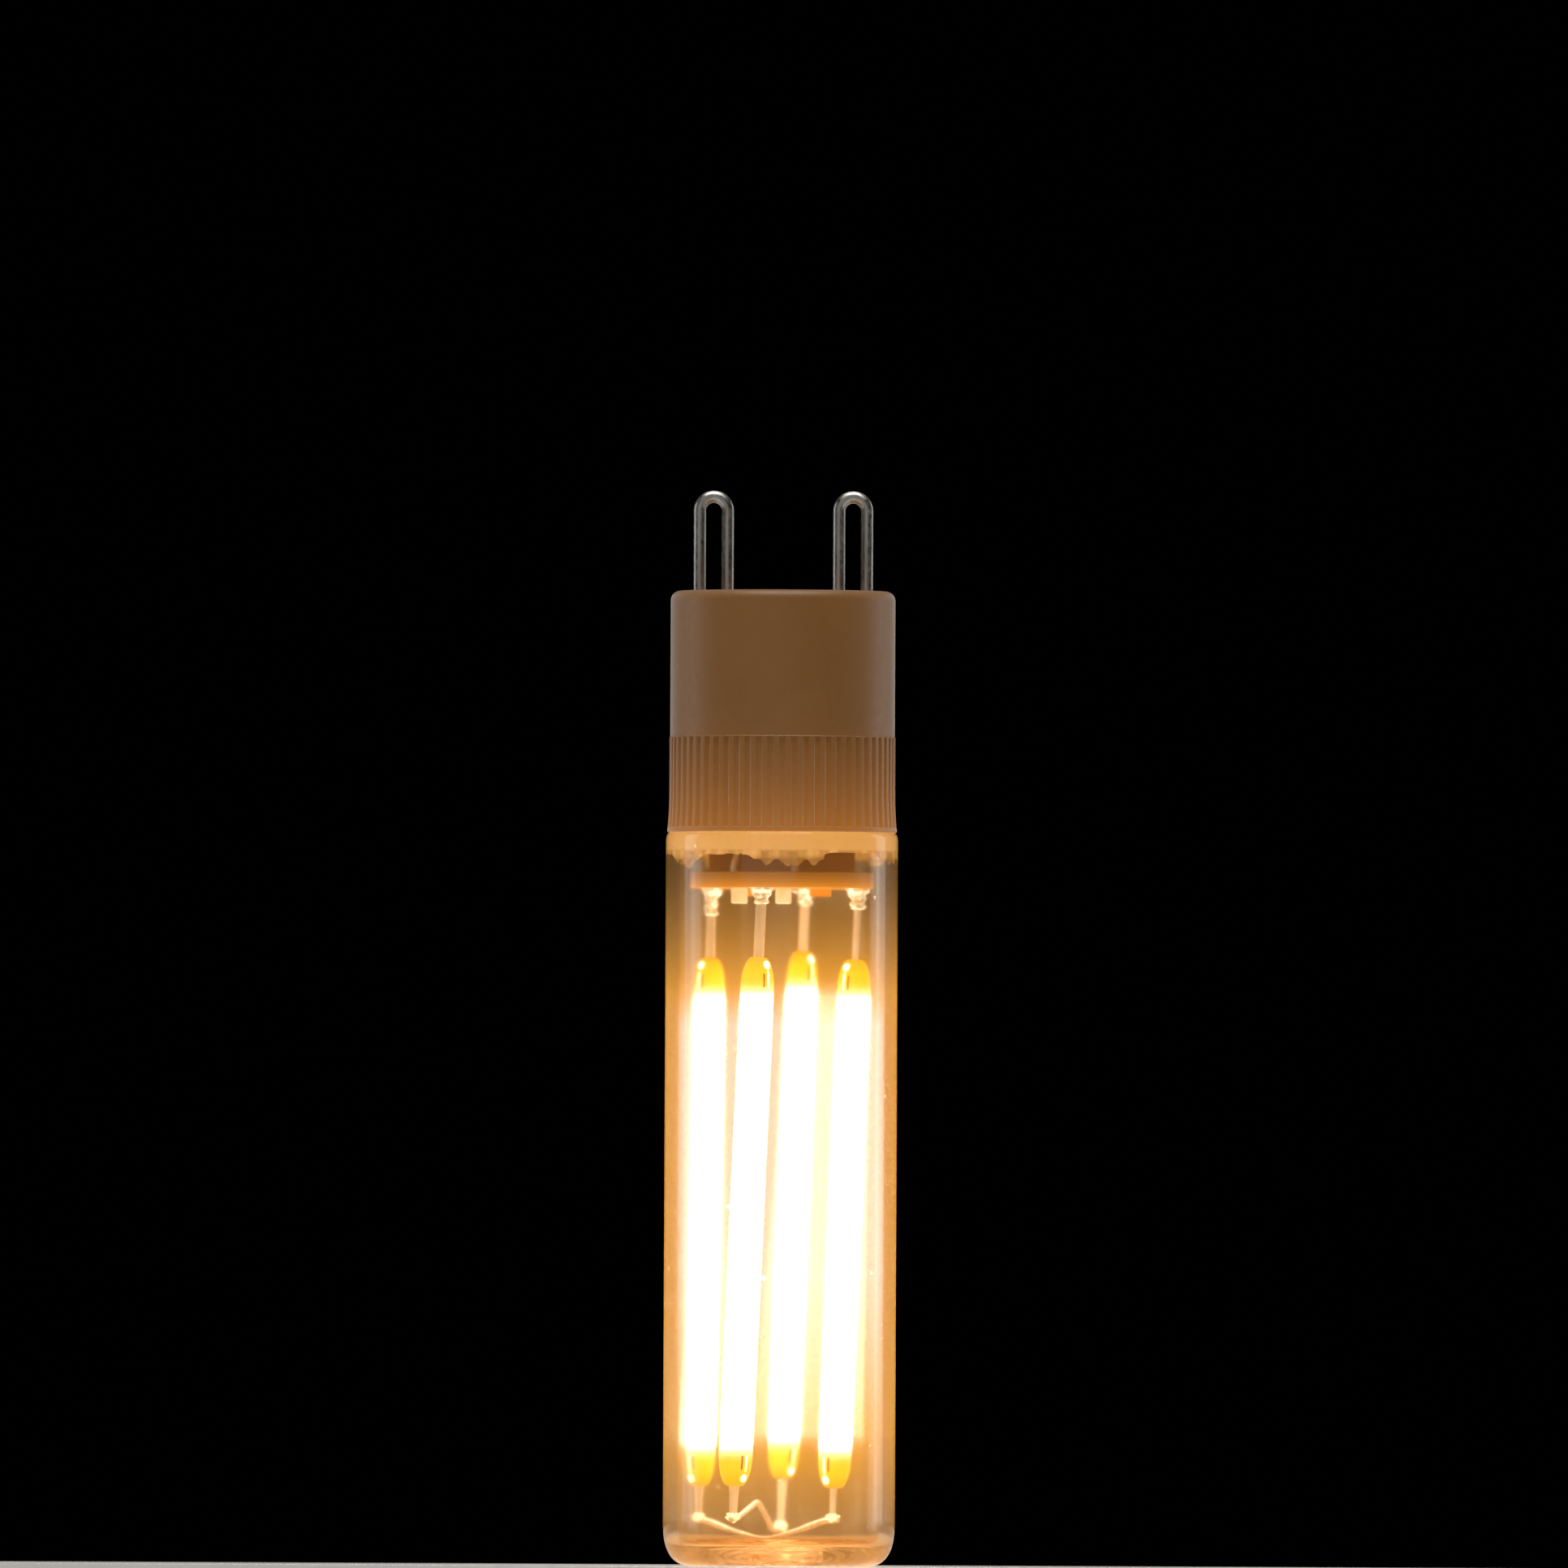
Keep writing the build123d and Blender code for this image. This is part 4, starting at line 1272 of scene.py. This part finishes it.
class LAMP_OT_stage(Operator):
    """Set the pale floor, dark backdrop, soft lights and camera"""

    bl_idname = "lamp.stage"
    bl_label = "Stage"

    def execute(self, context):
        stage = context.scene.lamp_stage
        self.lay_floor(stage)
        self.fill_world(context, stage)
        aside, height, upright = 0.52, 0.05, (0.15, 0.5)
        for name, turn in (("strip_left", -104), ("strip_right", 117)):
            angle = math.radians(turn)
            place = (math.sin(angle) * aside, -math.cos(angle) * aside, height)
            self.light(name, place, upright, stage.strips, (0.95, 0.97, 1.0))
        self.light("overhead", (0.0, -0.1, 0.7), (0.55, 0.55), stage.key, (1.0, 0.98, 0.95))
        self.light("fill", (-0.2, -0.8, 0.25), (0.9, 0.6), stage.fill, (1.0, 0.97, 0.92))
        self.aim_camera(context, stage)
        context.scene.view_settings.view_transform = "Standard"
        return {"FINISHED"}

    @staticmethod
    def lay_floor(stage):
        """A round pale floor with a soft edge, which the lamp stands on."""
        mesh = turned("floor", FLOOR, segments=96)
        mesh.materials.append(kept_finish("pale_floor", matt_floor, stage.floor))
        floor = bpy.data.objects.new("floor", mesh)
        bpy.context.scene.collection.objects.link(floor)

    @staticmethod
    def fill_world(context, stage):
        """Soft light from all round, and the backdrop where the camera, gloss or glass look."""
        world = bpy.data.worlds.new("studio")
        context.scene.world = world
        world.use_nodes = True
        tree = world.node_tree
        tree.nodes.clear()
        rays = add(tree, "ShaderNodeLightPath").outputs
        seen = rays["Is Camera Ray"]
        for kind in ("Is Glossy Ray", "Is Transmission Ray"):
            seen = maths(tree, "MAXIMUM", seen, rays[kind])
        soft = {"Color": (1, 1, 1, 1), "Strength": stage.ambient}
        soft = add(tree, "ShaderNodeBackground", soft).outputs[0]
        backdrop = {"Color": rgba(stage.backdrop), "Strength": 1.0}
        backdrop = add(tree, "ShaderNodeBackground", backdrop).outputs[0]
        mix = add(tree, "ShaderNodeMixShader", {0: seen, 1: soft, 2: backdrop}).outputs[0]
        add(tree, "ShaderNodeOutputWorld", {"Surface": mix})

    @staticmethod
    def light(name, place, size, power, rgb):
        """A soft rectangular light that faces the lamp."""
        data = bpy.data.lights.new(name, "AREA")
        data.shape = "RECTANGLE"
        data.size, data.size_y = size
        data.energy = power
        data.color = rgb
        lamp = bpy.data.objects.new(name, data)
        bpy.context.scene.collection.objects.link(lamp)
        lamp.location = place
        aim = LIT_POINT - Vector(place)
        lamp.rotation_euler = aim.to_track_quat("-Z", "Y").to_euler()

    @staticmethod
    def aim_camera(context, stage):
        """A long lens from about the height of the tube's closed end."""
        data = bpy.data.cameras.new("camera")
        camera = bpy.data.objects.new("camera", data)
        context.scene.collection.objects.link(camera)
        context.scene.camera = camera
        place = Vector((stage.aim_x, -stage.distance, stage.eye))
        aim = Vector((stage.aim_x, 0, stage.aim_z)) - place
        view = aim.to_track_quat("-Z", "Y").to_matrix().to_4x4()
        roll = Matrix.Rotation(stage.roll, 4, "Z")
        camera.matrix_world = Matrix.Translation(place) @ view @ roll
        data.lens = data.sensor_width * aim.length / stage.frame_width
        data.clip_end = 3 * stage.distance


class LAMP_PT_panel(Panel):
    """The lamp's pieces, in the 3D view's sidebar"""

    bl_idname = "LAMP_PT_panel"
    bl_label = "Capsule lamp"
    bl_space_type = "VIEW_3D"
    bl_region_type = "UI"
    bl_category = "Lamp"

    def draw(self, context):
        for operator in OPERATORS:
            self.layout.operator(operator.bl_idname)


OPERATORS = (
    LAMP_OT_tube,
    LAMP_OT_base,
    LAMP_OT_glue,
    LAMP_OT_contacts,
    LAMP_OT_filaments,
    LAMP_OT_jumpers,
    LAMP_OT_feeds,
    LAMP_OT_solder,
    LAMP_OT_blocks,
    LAMP_OT_boards,
    LAMP_OT_stage,
)
SETTINGS = {
    "lamp_tube": TubeSettings,
    "lamp_base": BaseSettings,
    "lamp_filaments": FilamentSettings,
    "lamp_fittings": FittingSettings,
    "lamp_stage": StageSettings,
}


def register():
    """Register the settings, operators and panel."""
    for cls in (*SETTINGS.values(), *OPERATORS, LAMP_PT_panel):
        bpy.utils.register_class(cls)
    for name, cls in SETTINGS.items():
        setattr(bpy.types.Scene, name, PointerProperty(type=cls))


def unregister():
    """Take the settings, operators and panel away again."""
    for name in SETTINGS:
        delattr(bpy.types.Scene, name)
    for cls in (LAMP_PT_panel, *reversed(OPERATORS), *reversed(SETTINGS.values())):
        bpy.utils.unregister_class(cls)


def main():
    """Build the lamp and its stage."""
    register()
    bpy.ops.lamp.tube()
    bpy.ops.lamp.base()
    bpy.ops.lamp.glue()
    bpy.ops.lamp.contacts()
    bpy.ops.lamp.filaments()
    bpy.ops.lamp.jumpers()
    bpy.ops.lamp.feeds()
    bpy.ops.lamp.solder()
    bpy.ops.lamp.blocks()
    bpy.ops.lamp.boards()
    bpy.ops.lamp.stage()


if __name__ == "__main__":
    main()
